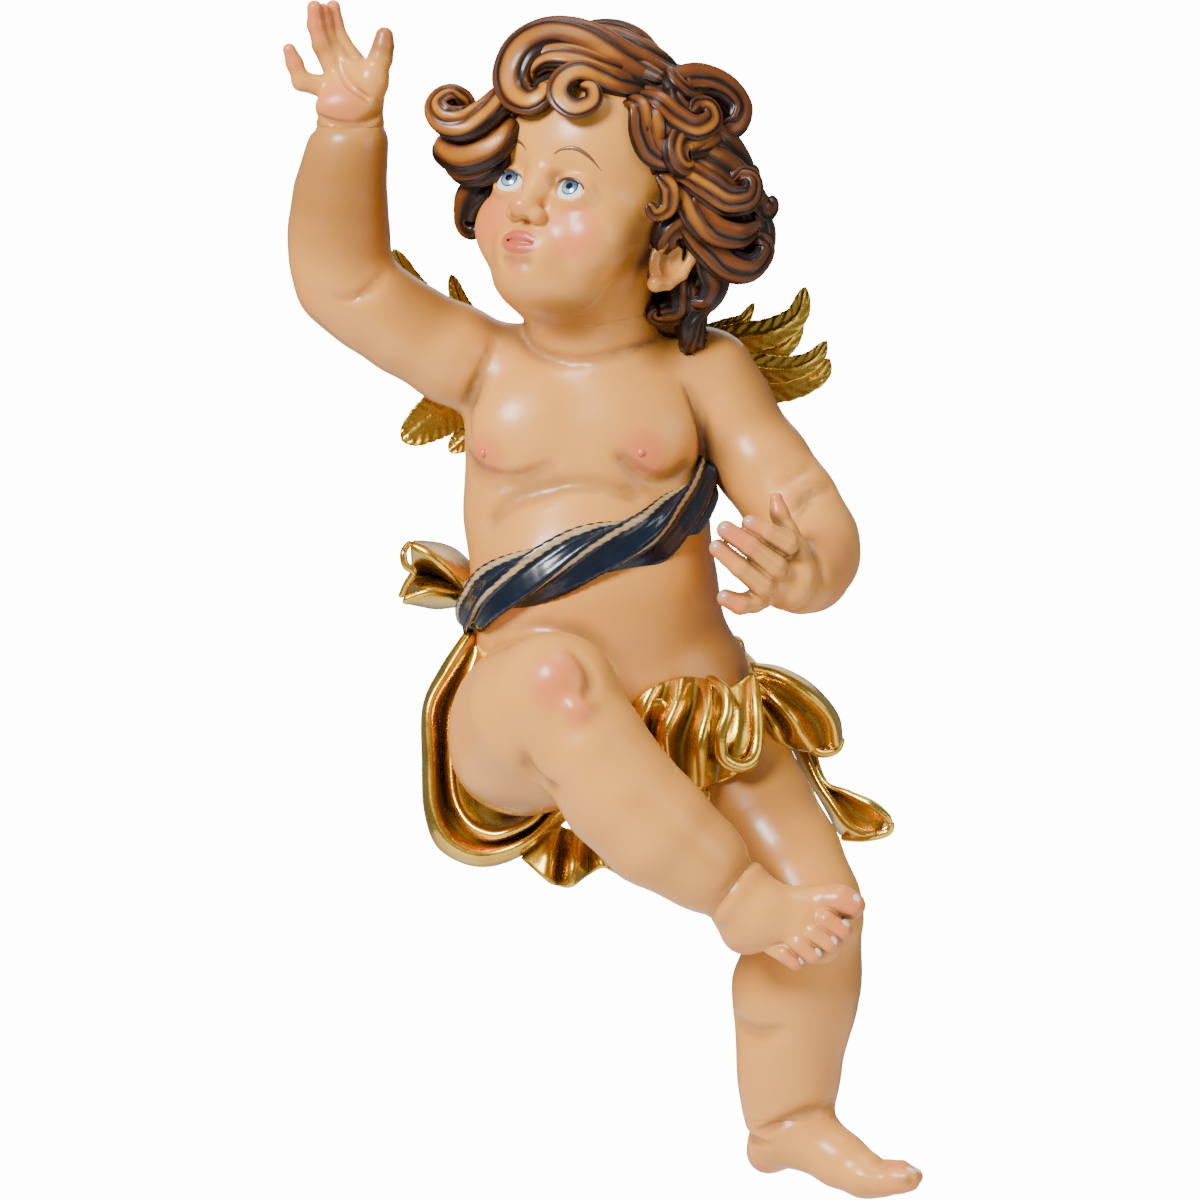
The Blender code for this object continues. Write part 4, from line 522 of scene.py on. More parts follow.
def left_leg(b):
    b.limb([(46, -74, -64, 36), (62, -82, -84, 33), (78, -92, -106, 28.5), (93, -104, -128, 26),
            (104, -114, -150, 24), (107, -116, -160, 22)], 9)
    b.limb([(107, -114, -160, 22), (102, -106, -180, 27), (98, -102, -194, 30.5), (97, -99, -208, 27.5),
            (95, -97, -225, 24.8), (94.5, -94, -240, 23.6), (94, -92, -254, 22.6)], 8)
    b.add(bone((94, -91, -258), (93, -91, -266), 19.5, 18.5), 4)
    b.add(ball((84.5, -84, -277), 11), 6)
    b.limb([(95, -91, -262, 17.5), (106, -97, -270, 15), (119, -104, -279, 13.2), (131, -111, -286, 12)], 6)
    b.add(egg((136, -113, -289), (15, 14, 8.5), unit_rows((0.85, -0.4, -0.2), (0.4, 0.9, 0), (0.2, 0, 1))), 5)
    b.crease(((758, 1131, 0.6), (770, 1126, 1.8), (786, 1119, 2.6), (804, 1111, 2.6), (822, 1105, 1.8),
              (834, 1101, 0.8)), 4)
    b.crease(((742, 1126, 0.6), (748, 1136, 1.6), (758, 1142, 1.4), (768, 1144, 0.4)), 4)
    b.crease(((736, 1018, 0.8), (746, 1027, 2.0), (762, 1031, 1.8), (780, 1027, 0.5)), 6)


def left_toes(b):
    b.limb([(141, -120, -289, 7.2), (148, -124, -288, 6.9), (153, -127, -288, 6.2)], 3)
    b.limb([(143, -112, -284, 5.4), (150, -116, -284, 5.0), (156.5, -119, -287, 4.4)], 1.2)
    b.limb([(143, -105, -285, 5.2), (149, -108, -285, 4.8), (155, -111, -288, 4.2)], 1.2)
    b.limb([(141, -99, -286, 5.0), (147, -102, -286, 4.5), (152, -105, -289, 4.0)], 1.2)
    b.limb([(138, -94, -287, 4.8), (143, -97, -287, 4.2), (147, -100, -290, 3.8)], 1.2)


EYE = np.array([18.5, -25.0, 34.0])      # middle of an eyeball in the head's frame, and its radius
EYE_R = 10.5


def head(b):
    head_eggs(b, ((0, 2, -2), (49, 49, 52), 0), ((0, -32, 1), (40, 34, 38), 14), ((0, 10, 24), (39, 31, 26), 12))
    for side in (-1, 1):
        b.add(egg(H(side * 22, -42, 20), (21, 21, 19.5), AXES), 12)
    head_eggs(b, ((0, -61, 29), (14, 11, 12), 12), ((0, -69, 6), (27, 14, 28), 18))
    for side in (-1, 1):
        b.cut(egg(H(side * 19, -24, 55), (14, 8.5, 11.5), AXES), 10)


def features(b):
    """Eyes, nose, mouth, chin and ears."""
    b.add(egg(H(0, -53, 36.5), (14, 9.5, 7), AXES), 12)
    b.limb(on_head([(0, -12, 41.0, 4.2), (0, -24, 43.8, 4.6), (0, -33, 47.5, 5.0)]), 8)
    b.add(egg(H(0, -38.5, 50.2), (7.0, 6.0, 6.6), AXES), 4)
    for side in (-1, 1):
        b.add(egg(H(side * 6.8, -41.0, 46.2), (4.4, 4.2, 5.6), AXES), 2.5)
        b.cut(egg(H(side * 3.5, -44.8, 49.2), (2.2, 2.0, 3.4), AXES), 0.8)
        e = EYE * (side, 1, 1)
        b.add(ball(H(*e), EYE_R + 1.5), 3.0)
        b.groove(on_head([(9.5, -25, 43.5, 0.5), (13, -18.5, 46, 0.9), (19, -15.6, 46.6, 1.1), (25, -18, 44, 0.9),
                          (30, -23.5, 39.5, 0.4)], side), 1.6)
        b.groove(on_head([(11, -30.5, 44.5, 0.4), (18, -35, 43.5, 0.7), (26, -33.5, 40.5, 0.4)], side), 2.0)
        b.cut(egg(H(*(e + (0, 0.2, 12.0))), (8.6, 5.3, 9.0), AXES), 0.7)
    b.limb(on_head([(-11.6, -54.8, 39.2, 0.9), (-7.5, -53.2, 41.6, 1.7), (-3.0, -51.8, 43.2, 2.2),
                    (0, -52.4, 43.6, 2.0), (3.0, -51.8, 43.2, 2.2), (7.5, -53.2, 41.6, 1.7),
                    (11.6, -54.8, 39.2, 0.9)]), 2.2)
    b.limb(on_head([(-10.5, -55.8, 39.0, 0.9), (-6, -57.6, 41.0, 2.0), (0, -58.4, 41.9, 2.5), (6, -57.6, 41.0, 2.0),
                    (10.5, -55.8, 39.0, 0.9)]), 2.4)
    b.groove(on_head([(-10.8, -55.2, 41.6, 0.5), (-5, -54.9, 44.6, 0.9), (0, -55.4, 46.2, 1.2),
                      (5, -54.9, 44.6, 0.9), (10.8, -55.2, 41.6, 0.5)]), 1.0)
    b.groove(on_head([(0, -44.5, 47.4, 0.6), (0, -48.2, 47.2, 1.3)]), 1.6, 8)
    b.groove(on_head([(-6, -64.5, 42.5, 0.3), (0, -65.2, 43.5, 0.6), (6, -64.5, 42.5, 0.3)]), 7)
    for side in (-1, 1):
        b.groove(on_head([(12.4, -53.6, 39.6, 0.4), (13.4, -56.5, 38.2, 0.9), (12.8, -59, 37.8, 0.4)], side), 2.5)
        # ear: plate, rim, inner ridge, hollow and lobe
        ear = np.array([side * 45.5, -37.0, -14.0])
        tilt = unit_rows(AXES.T @ (1, 0.05, 0.4 * side), AXES.T @ (0, 1, -0.15), AXES.T @ (-0.4 * side, 0.15, 1))
        b.add(egg(H(*(ear + (side * 1.5, 0, 0))), (3.6, 14, 9.5), tilt), 3)
        for nodes in (EAR_RIM, EAR_RIDGE):
            b.limb([np.r_[H(*(ear + (side * x, y, z))), r] for x, y, z, r in nodes], 1.2)
        b.cut(egg(H(*(ear + (side * 6.6, -1.5, 1.5))), (4.6, 8.2, 5.6), tilt), 1.6)


# ear: places outwards, up and forwards of its middle, with radii
EAR_RIM = [(2.5, 2, 7.5, 2.0), (4.0, 10, 7, 2.4), (6.5, 14.5, 1, 2.7), (9.0, 12, -6.5, 2.8), (9.5, 4, -9.5, 2.8),
           (8.0, -5, -8, 2.8), (5.0, -12, -2.5, 3.4), (2.0, -14.5, 3.0, 4.4)]
EAR_RIDGE = [(3.5, 8, 2, 1.2), (5.5, 6, -3.5, 1.6), (6.0, -1, -5.5, 1.7), (4.5, -7, -2, 1.7), (3.0, -8, 3.5, 1.8)]


PARTS = [torso, right_arm, right_hand, left_arm, left_hand, right_leg, right_toes, left_leg, left_toes, head,
         features]


SIDE_ON = 92.0                # depth of the locks past the head's outline
SIGHTS = 110                  # depths tried along each view line


def lay(points, block):
    """Block points on the head for places across and down: the depth is where the view line meets it."""
    points = [tuple(p) + (0,) * (3 - len(p)) for p in points]
    x = np.array([(p[0] - 600) / 2 for p in points])
    z = np.array([(600 - p[1]) / 2 for p in points])
    depth = np.linspace(-165, -SIDE_ON, SIGHTS)
    grid = np.stack([np.repeat(x, SIGHTS), np.tile(depth, len(x)), np.repeat(z, SIGHTS)], 1)
    inside = block.sample(grid).reshape(len(x), SIGHTS) < 0
    y = np.where(inside.any(1), depth[np.argmax(inside, 1)], -SIDE_ON)
    for _ in range(2):
        y = np.r_[y[0], (y[:-2] + 2 * y[1:-1] + y[2:]) / 4, y[-1]]
    return np.stack([x, y - 2.5 + np.array([p[2] for p in points]), z], 1)


# places on the front elevation with a shift in depth, half width, end curl as size, turns and hand
LOCKS = [
    # forelock: a broad roll over the brow with a strand inside it
    (((712, 104, 4), (668, 90), (624, 70, -4), (586, 48, -10), (552, 42, -16), (526, 54, -20), (514, 78, -18),
     (518, 98, -14), (532, 106, -12), (544, 98, -10), (542, 88, -8)), 12.9, None),
    (((640, 88, 8), (604, 76, -4), (570, 63, -12), (546, 62, -14), (530, 74, -12), (530, 88, -8)), 8.5, None),
    # ring curl
    (((650, 94, 10), (622, 92, -2), (600, 84, -4), (580, 78, -6), (564, 86, -8), (560, 102, -9), (574, 115, -9),
     (592, 108, -8), (592, 94, -7), (580, 90, -6)), 6.8, None),
    # top
    (((690, 92, 10), (662, 78, 2), (636, 60, 2), (610, 44, 2), (582, 40, 0), (556, 48, -4)), 12.3, None),
    (((676, 76, 26), (646, 56, 16), (624, 38, 16), (600, 32, 14), (572, 36, 10)), 11.0, None),
    (((604, 46, 2), (618, 60, -6), (640, 72, -4), (664, 84, -4)), 7.3, None),
    # loop on the right and the bright curl inside it
    (((640, 92, 10), (668, 88, 0), (696, 82, -2), (722, 90, -6), (738, 108, -8), (734, 126, -8), (718, 132, -6)),
     9.8, None),
    (((632, 98, 10), (656, 106, -2), (674, 122, -6), (694, 132, -10), (710, 124, -12), (708, 110, -12),
     (696, 108, -10), (690, 115, -8)), 6.8, None),
    (((630, 104, 10), (650, 116, 0), (664, 134, -2), (682, 146, -4), (704, 144, -8), (720, 134, -6)), 6.8, None),
    # temple
    (((622, 102, 10), (638, 112, -2), (640, 138, -2), (648, 158, -2), (664, 166, -2), (680, 158, 0)), 6.3, None),
    (((634, 108, 9), (652, 124, -2), (656, 146, -2), (670, 156, -2), (684, 148, 0)), 6.3, None),
    # left side
    (((524, 82, 0), (508, 98, -14), (490, 116, -18), (468, 127, -20), (448, 123, -20), (440, 109, -18),
     (449, 99, -14), (464, 102, -8), (474, 110, -4)), 9.2, None),
    (((514, 120, 0), (496, 144, -8), (470, 156, -10), (448, 150, -10), (446, 138, -8)), 11.6, None),
    (((508, 148, 6), (490, 166, -2), (466, 168, -4), (450, 158, -4)), 10.4, None),
    (((500, 168, 14), (486, 184, 4), (472, 200, 2), (468, 216, 2)), 9.2, (5.0, 0.6, -1)),
    # right cluster
    (((656, 176, 2), (680, 174, -4), (702, 188, -10), (722, 202, -14), (744, 200, -16), (750, 184, -16),
     (738, 176, -12), (728, 184, -8)), 8.5, None),
    (((658, 182, 4), (680, 194, -4), (694, 216, -10), (712, 232, -14), (738, 236, -16), (756, 226, -12)), 8.5, None),
    (((664, 190, 6), (684, 216, -2), (702, 240, -8), (724, 262, -12), (748, 266, -12), (762, 250, -10),
     (752, 238, -8), (738, 246, -6)), 9.8, None),
    (((672, 150, 8), (700, 160, 0), (724, 172, -2), (744, 190, -4), (758, 206, -4)), 10.4, (5.0, 0.6, -1)),
    (((690, 124, 16), (714, 138, 2), (730, 158, 0), (742, 172, 0)), 10.4, (5.0, 0.5, -1)),
    (((740, 200, 8), (754, 218, 0), (762, 236, -2)), 8.5, (5.0, 0.6, 1)),
    (((658, 176, 0), (668, 192, -6), (666, 210, -6), (654, 216, -6), (648, 206, -4)), 5.4, None),
    # nape
    (((690, 232, 2), (706, 258, -6), (712, 282, -6), (704, 300, -4), (690, 302, -2), (686, 292, 0)), 9.2, None),
    (((676, 264, 8), (684, 288, -2), (680, 308, -2), (664, 312, -2)), 9.2, (4.0, 0.6, 1)),
    (((664, 276, 18), (654, 296, 10), (660, 314, 8), (678, 320, 8), (698, 314, 8)), 9.8, None),
    (((716, 226, 6), (732, 246, 0), (744, 262, 0)), 9.8, (6.0, 0.7, -1)),
]
# rows round the back: height angle, locks, half width, fall, reach to each side
ROWS = ((66, 6, 11.0, 34, 118), (40, 8, 11.5, 36, 108), (12, 9, 11.5, 36, 92), (-14, 8, 10.5, 20, 84))


def back_locks():
    """Locks on the crown and the back of the head, row by row from the crown down."""
    out = []
    for row, (high, count, half, fall, reach) in enumerate(ROWS):
        for k in range(count):
            bearing = math.radians(-reach + 2 * reach * (k + 0.5 * (row % 2)) / (count - 0.5))
            pts = []
            for step in range(4):
                e = math.radians(high - fall * step / 3 * (0.7 + 0.3 * ((k * 3 + row) % 3) / 2))
                turn = bearing + 0.17 * math.sin(step * 2.1 + k * 1.7 + row)
                across, up, back = math.sin(turn) * math.cos(e), math.sin(e), -math.cos(turn) * math.cos(e)
                pts.append(H(across * 58 - 1, up * 56 + 6, back * 58 - 8))
            out.append((np.array(pts), half, (7.0, 0.8, 1 if (k + row) % 2 else -1)))
    return out


# how far the hair stands out on the viewer's right, by height
SIDE_UP = (140, 160, 180, 200, 220, 240, 255, 265)
SIDE_OUT = (50, 54, 76, 75, 69, 66, 56, 40)


def side_locks():
    """Waved locks that fall over the full side of the hair, on the viewer's right."""
    out = []
    for k in range(9):
        row, column = divmod(k, 3)
        pts = []
        for step in range(6):
            z = 246 - 34 * row - 6 * column - 9 * step
            y = -108 + 15 * column + 4 * step + 5 * math.sin(1.5 * step + 2 * row)
            wide = math.sqrt(max(1 - ((y + 86) / 46) ** 2, 0.05))
            pts.append((40 + (float(np.interp(z, SIDE_UP, SIDE_OUT)) - 45) * wide, y, z))
        out.append((np.array(pts), 9.5, (6.5, 0.8, 1 if k % 2 else -1)))
    return out


TO_VIEWER = 55.0              # how far the locks laid from the front turn their faces to the viewer


def locks(block):
    """Every lock: its points, half width, end curl, and how far it turns its face to the viewer."""
    return ([(lay(points, block), half, curl, TO_VIEWER) for points, half, curl in LOCKS]
            + [lock + (0.0,) for lock in back_locks() + side_locks()])


def lock_path(points, curl, face, rows):
    if curl:
        points = curled(points, unit(points[-1] - HEAD + (0, -face, 0)), *curl)
    return even(points, rows)


def cap(b):
    """The close hair under the locks."""
    head_eggs(b, ((0, 8, -9), (52, 49, 51), 2), ((0, -26, -26), (44, 34, 34), 12), ((31, 18, 4), (22, 28, 26), 10),
              ((-32, 18, 8), (20, 26, 26), 10))
    b.eggs(((-2, -90, 258), (38, 24, 18), 8), ((52, -86, 232), (18, 20, 16), 8), ((50, -86, 208), (20, 26, 28), 8),
           ((58, -88, 188), (17, 20, 18), 8), ((44, -80, 154), (14, 18, 18), 8), ((-58, -98, 226), (13, 12, 18), 8),
           ((-70, -100, 245), (9, 5, 9), 6), ((60, -82, 246), (12, 7, 13), 6), ((70, -84, 176), (12, 8, 12), 6))


def strands_of(k, half):
    """Strands carved round a lock, and how far their grooves wander round it on its way."""
    return (4 if half < 8 else 5 if k % 3 else 6), (1.0, -0.8, 0.6, -1.2)[k % 4]


def lock_width(half, rows):
    """Half width along a lock: it swells from its root and ends in a round knob."""
    return half * ends(np.linspace(0, 1, rows), 0.55, 0.50, 0.42, 0.07)


# sheets of carved cloth: each a row of rails, crests and hollows by turns, as places with their depth
SHEETS = [
    # bow at the end of the sash
    (((474, 566, -54), (454, 548, -58), (432, 541, -60), (412, 541, -70)),
     ((470, 594, -74), (452, 575, -84), (430, 556, -88), (410, 545, -84)),
     ((468, 592, -58), (450, 582, -52), (428, 574, -48), (409, 572, -64)),
     ((466, 598, -74), (448, 593, -82), (428, 591, -87), (402, 600, -84)),
     ((472, 604, -60), (450, 608, -62), (430, 609, -62), (402, 602, -68))),
    # strip down the left side and the swag under the thigh
    (((466, 630, -84), (440, 668, -88), (423, 706, -92), (422, 760, -92), (424, 810, -94), (436, 846, -96),
      (464, 864, -98), (494, 866, -100), (528, 852, -100), (560, 826, -96), (592, 800, -90)),
     ((472, 632, -88), (448, 672, -94), (430, 708, -99), (431, 760, -101), (434, 806, -103), (448, 838, -106),
      (472, 853, -108), (498, 852, -108), (530, 838, -108), (558, 812, -102), (586, 788, -92)),
     ((477, 638, -84), (456, 678, -84), (442, 712, -84), (442, 760, -84), (446, 802, -86), (460, 830, -90),
      (482, 842, -94), (504, 840, -96), (532, 828, -94), (554, 804, -92), (580, 780, -86)),
     ((481, 655, -84), (466, 690, -90), (454, 722, -94), (452, 764, -97), (456, 800, -101), (470, 824, -106),
      (490, 834, -110), (508, 832, -112), (533, 820, -110), (552, 798, -106), (574, 774, -94)),
     ((484, 668, -70), (470, 700, -70), (464, 735, -70), (464, 775, -74), (472, 802, -80), (484, 814, -88),
      (498, 820, -96), (512, 818, -98), (530, 810, -98), (545, 790, -94), (562, 770, -86)),
     ((494, 680, -62), (486, 705, -62), (482, 735, -60), (482, 765, -62), (490, 786, -68), (502, 792, -76),
      (514, 793, -84), (524, 790, -88), (536, 784, -88), (548, 774, -86), (562, 758, -84))),
    # tips under the knee
    (((536, 834, -90), (528, 848, -98), (521, 858, -102)),
     ((556, 822, -94), (550, 852, -106), (546, 880, -110)),
     ((564, 828, -90), (560, 858, -95), (557, 886, -98)),
     ((576, 830, -94), (574, 862, -107), (571, 887, -108)),
     ((588, 836, -90), (588, 860, -94), (588, 876, -96)),
     ((602, 840, -92), (602, 858, -102), (604, 868, -104)),
     ((618, 844, -88), (620, 864, -92), (622, 876, -94)),
     ((640, 846, -88), (640, 862, -98), (646, 872, -98))),
    # front between the legs
    (((632, 703, -118), (628, 718, -116), (634, 732, -114), (646, 746, -112)),
     ((654, 685, -120), (645, 706, -122), (642, 726, -121), (652, 756, -119)),
     ((667, 680, -116), (658, 706, -115), (651, 732, -114), (660, 766, -112)),
     ((682, 676, -119), (676, 704, -129), (664, 736, -131), (670, 782, -122)),
     ((695, 677, -112), (691, 706, -119), (680, 742, -121), (683, 788, -117)),
     ((709, 680, -117), (708, 708, -132), (699, 746, -137), (698, 790, -128)),
     ((721, 688, -108), (723, 716, -117), (718, 746, -122), (714, 784, -120)),
     ((738, 681, -110), (741, 710, -118), (740, 742, -123), (732, 776, -122)),
     ((755, 669, -104), (758, 706, -112), (757, 742, -116), (749, 767, -114))),
    # tip below it
    (((690, 776, -106), (700, 784, -108), (712, 794, -110)),
     ((706, 772, -108), (708, 788, -114), (706, 806, -114)),
     ((722, 770, -106), (716, 788, -108), (708, 808, -108))),
    # fan on the hip
    (((750, 663, -90), (780, 667, -96), (812, 684, -96), (838, 714, -90), (843, 740, -86)),
     ((752, 668, -98), (780, 677, -108), (808, 694, -110), (830, 718, -104), (837, 748, -96)),
     ((754, 676, -96), (778, 690, -98), (800, 706, -98), (816, 724, -92), (824, 750, -88)),
     ((755, 684, -98), (776, 701, -107), (792, 718, -108), (800, 734, -104), (812, 752, -94)),
     ((756, 692, -95), (772, 710, -97), (784, 726, -96), (790, 740, -92), (798, 750, -86)),
     ((756, 700, -96), (768, 718, -104), (776, 732, -105), (780, 742, -100), (784, 748, -92)),
     ((754, 712, -92), (760, 728, -94), (766, 738, -92), (768, 744, -88), (770, 746, -84))),
    # tail
    (((786, 735, -62), (806, 775, -66), (824, 805, -70), (838, 832, -74), (845, 839, -76)),
     ((798, 728, -72), (816, 776, -80), (832, 802, -86), (850, 826, -90), (872, 836, -92)),
     ((805, 730, -66), (820, 778, -70), (840, 799, -74), (860, 817, -78), (884, 830, -82)),
     ((812, 733, -68), (824, 780, -78), (848, 793, -86), (872, 805, -92), (893, 822, -92)),
     ((812, 743, -56), (828, 784, -60), (850, 794, -64), (874, 803, -70), (888, 814, -76))),
]
# rolled edges on the sheets: places with depth, half width, half thickness
ROLLS = [(((706, 676, -114), (724, 690, -128), (727, 710, -133), (720, 734, -134), (722, 756, -131),
           (738, 765, -128), (752, 758, -124), (757, 738, -121), (756, 704, -118), (752, 672, -108)), 3.4, 3.2),
         (((844, 738, -90), (836, 751, -92), (818, 753, -92), (804, 736, -92), (800, 716, -96)), 2.2, 2.2),
         (((842, 839, -80), (866, 838, -86), (888, 833, -88), (893, 822, -90)), 2.4, 2.4),
         (((410, 541, -82), (403, 552, -86), (405, 565, -86), (413, 572, -86), (406, 584, -84), (399, 598, -82)),
          2.0, 2.0)]


SHEET_THICK = 2.4
ROLL_ROWS, ROLL_COLS = 72, 24


def across(sheet):
    return rows_unit(np.cross(np.gradient(sheet, axis=0), np.gradient(sheet, axis=1)))


def draped(rails, rows, cols, thick):
    """A sheet: P(u, v) eases along a rail with u and from rail to rail with v. Its rims are closed."""
    lines = np.stack([even([at(*p) for p in rail], rows) for rail in rails])
    sheet = curve(lines.reshape(len(rails), rows * 3), cols).reshape(cols, rows, 3)
    if across(sheet)[..., 1].sum() > 0:
        sheet = sheet[::-1]
    normal = across(sheet)
    u = np.minimum(np.arange(cols), np.arange(cols)[::-1])[:, None] / 3.0
    v = np.minimum(np.arange(rows), np.arange(rows)[::-1])[None] / 3.0
    rim = np.clip(np.minimum(u, v), 0, 1)
    half = thick / 2 * np.sqrt(np.clip(1 - (1 - rim) ** 2, 0.02, 1))[..., None]
    front, back = sheet + normal * half, sheet - normal * half
    verts = np.vstack([front.reshape(-1, 3), back.reshape(-1, 3)])
    i, j = np.meshgrid(np.arange(cols - 1), np.arange(rows - 1), indexing="ij")
    a = (i * rows + j).ravel()
    quads = np.stack([a, a + rows, a + rows + 1, a + 1], 1)
    edge = np.concatenate([np.arange(cols) * rows, (cols - 1) * rows + np.arange(1, rows),
                           (np.arange(cols - 1) * rows + rows - 1)[::-1], np.arange(1, rows - 1)[::-1]])
    after = np.roll(edge, -1)
    shift = cols * rows
    rims = np.stack([edge, edge + shift, after + shift, after], 1)
    return verts, np.vstack([quads, quads[:, ::-1] + shift, rims]), NO_TRIS


HIP_FOLDS, FOLD_STEPS = 6, 9    # folds round the hips, and places along each
HIP_MIDDLE = (15, -68)          # of the hips in plan
HIP_REACH = (67, 50)            # half width and half depth of the cloth round them
FOLD_TOP, FOLD_PITCH = -12, 13  # height of the uppermost fold, and from fold to fold


def wrap(b):
    """The cloth round the hips: a shell over the body with folds that gather at the two hips."""
    b.eggs(((14, -70, -40), (67, 52, 46), 0), ((18, -60, -62), (61, 47, 38), 10),
           ((-8, -54, -60), (50, 40, 40), 10))
    b.cut(bone((-16, -86, -54), (-30, -160, -58), 40, 39), 3)
    b.cut(beyond((0, -20, -2), (0.1, -0.4, 0.9)), 2)
    for k in range(HIP_FOLDS):
        high = FOLD_TOP - FOLD_PITCH * k
        pts = []
        for step in range(FOLD_STEPS):
            a = math.pi * step / (FOLD_STEPS - 1)
            sag = (8 + 5 * k) * math.sin(a)
            u = ((high - sag + 50) / 62) ** 2
            wide = math.sqrt(max(1.05 - u, 0.25))
            x = HIP_MIDDLE[0] - math.cos(a) * HIP_REACH[0] * wide
            y = HIP_MIDDLE[1] + math.sin(a) * HIP_REACH[1] * wide
            pts.append((x, y, high - sag + 10 * math.cos(a) + 2.0 * math.sin(3 * a + 1.9 * k),
                        2.5 + 3.0 * math.sin(a)))
        b.limb(pts, 4.5)


SASH_STRANDS, SASH_TURNS = 5, 2
SASH_ROWS, SASH_COLS = 400, 44
SASH_HALF, SASH_THICK = 12.0, 5.4         # its half width and half thickness
# height of the sash round the body, by bearing from the viewer's right, over the back
SASH_TURN = (0, 30, 60, 90, 120, 150, 180, 210, 240, 270, 300, 330, 360)
SASH_UP = (72, 56, 36, 20, 8, -2, -6, -2, 9, 22, 30, 46, 72)


def sash_path(body):
    """The loop of the sash: places on the body at the heights of the table, and their directions outwards."""
    turn = np.arange(SASH_ROWS) * 360.0 / SASH_ROWS
    up = np.interp(turn, SASH_TURN, SASH_UP)
    for _ in range(SASH_ROWS // 12):
        up = (np.roll(up, 1) + 2 * up + np.roll(up, -1)) / 4
    d = np.stack([np.cos(np.radians(turn)), np.sin(np.radians(turn)), 0.0 * turn], 1)
    c = np.stack([0 * up - 8, 0 * up - 68, up], 1)
    reach = np.linspace(20, 95, 151)
    inside = body.sample((c[:, None] + d[:, None] * reach[None, :, None]).reshape(-1, 3)).reshape(SASH_ROWS, -1) < 0
    r = reach[np.argmax(~inside, 1)]
    for _ in range(6):
        r = (np.roll(r, 1) + 2 * r + np.roll(r, -1)) / 4
    return c + d * (r[:, None] + 1.5), d


def sash_wind(s, a):
    """The angle in the sash's strands: they wind round it on their way."""
    return SASH_STRANDS * (a - s * 2 * math.pi * SASH_TURNS)


def sash(body):
    """A flat twist of cloth round the body: its round swells and sinks with the strands as they wind."""
    def shape(s, a):
        wind = sash_wind(s, a)
        return 1 + 0.20 * np.cos(wind) + 0.07 * np.cos(2 * wind + 0.8)

    path, out = sash_path(body)
    return loop(path, SASH_HALF, SASH_THICK, out, SASH_COLS, shape)


# feathers: places along the rib on the front elevation, half width and depth of the root
LEFT = [(((666, 358), (700, 332), (728, 321), (746, 314), (757, 297)), 4.6, -11),
        (((664, 380), (715, 376), (755, 381), (794, 380), (822, 370), (834, 354)), 10.0, -10),
        (((664, 368), (715, 352), (760, 347), (788, 341), (807, 316)), 7.5, -11),
        (((664, 364), (704, 344), (738, 334), (772, 328), (800, 311), (809, 281)), 8.5, -13),
        (((664, 372), (712, 359), (750, 362), (788, 365), (816, 356), (831, 336)), 8.0, -13)]
RIGHT = [(((508, 343), (480, 325), (459, 300), (448, 268)), 5.6, -11),
         (((505, 348), (450, 322), (412, 284), (389, 242)), 8.0, -11),
         (((500, 360), (440, 348), (398, 322), (374, 288)), 8.5, -12),
         (((498, 372), (445, 372), (405, 352), (378, 332)), 8.5, -10),
         (((505, 392), (478, 420), (446, 449)), 8.0, -9),
         (((500, 378), (468, 390), (434, 412), (398, 438)), 13.0, -11)]
BARBS = 13                # to a feather
FEATHER_ROWS, FEATHER_COLS = 84, 36
WING_ROOT = 36            # from the middle of the seat to that of each wing's root
WING_GRAIN = 0.9          # fineness of the roots


def slant(s, v):
    """How far along its barb each place of a feather lies, and how much of the barb's cut there is off the rib."""
    return (s * BARBS - np.abs(v) * 1.6) % 1.0, np.clip(np.abs(v) * 3 - 0.3, 0, 1)


def feather(points, half, y):
    """A feather along its rib: cupped, with a raised rib, slanting barbs and a notched edge."""
    pts = np.array([at(a, b, y - 2.4 * k) for k, (a, b) in enumerate(points)])
    path = even(pts, FEATHER_ROWS)
    s = np.linspace(0, 1, FEATHER_ROWS)
    tooth = (s * BARBS) % 1.0
    w = half * ends(s, 0.5, 0.42, 0.5, 0.12) * (1 - 0.07 * np.clip(s * 4, 0, 1) * tooth)
    cup = 0.10 * half

    def fold(u, v):
        rib = 1.3 * np.exp(-(v / 0.13) ** 2) * (1 - 0.6 * u)
        along, off_rib = slant(u, v)
        return rib + 0.8 * (0.5 - along) * off_rib + cup * (v * v - 0.5)

    return sweep(path, w, 2.3 * ends(s, 0.95, 0.5, 0.2, 0.08), FRONT, FEATHER_COLS, fold)


# seams of the flesh: a place on the cut, the way to the outer part, and a ball that holds that part
SEAMS = {"neck": ((-3, -80, 146), (-0.05, -0.25, 1), (0, -90, 220), 85),
         "right_wrist": ((-124.5, -101.5, 236), (0, -0.1, 1), (-128, -104, 272), 50),
         "left_wrist": ((95.5, -137, 10.5), (-0.45, -0.88, 0.08), (80, -155, 18), 44),
         "right_ankle": ((64, -163, -142), (0.8, -0.05, -0.6), (97, -168, -162), 60),
         "left_ankle": ((94, -91.5, -259), (0.05, 0, -1), (118, -102, -288), 60)}


SEAM_LAP = 2.5                # how far the body runs on under the outer part


def past(seam, other_way=False):
    point, way, centre, reach = SEAMS[seam]
    if other_way:
        return beyond(point, -np.asarray(way, float), centre)
    return beyond(np.asarray(point) + SEAM_LAP * unit(way), way, centre, reach)


def creases(b):
    """Creases of baby fat round the wrists and an ankle, and in the bend of the raised arm."""
    for seam, big, small in (("right_wrist", 19.2, 0.8), ("left_wrist", 16.8, 1.0), ("right_ankle", 20.0, 1.5)):
        point, way = SEAMS[seam][:2]
        b.cut(ring(point, way, big, small), 5)
    b.crease(((334, 298, 0.4), (346, 300, 1.4), (360, 296, 1.7), (374, 286, 1.2), (384, 276, 0.4)), 4)


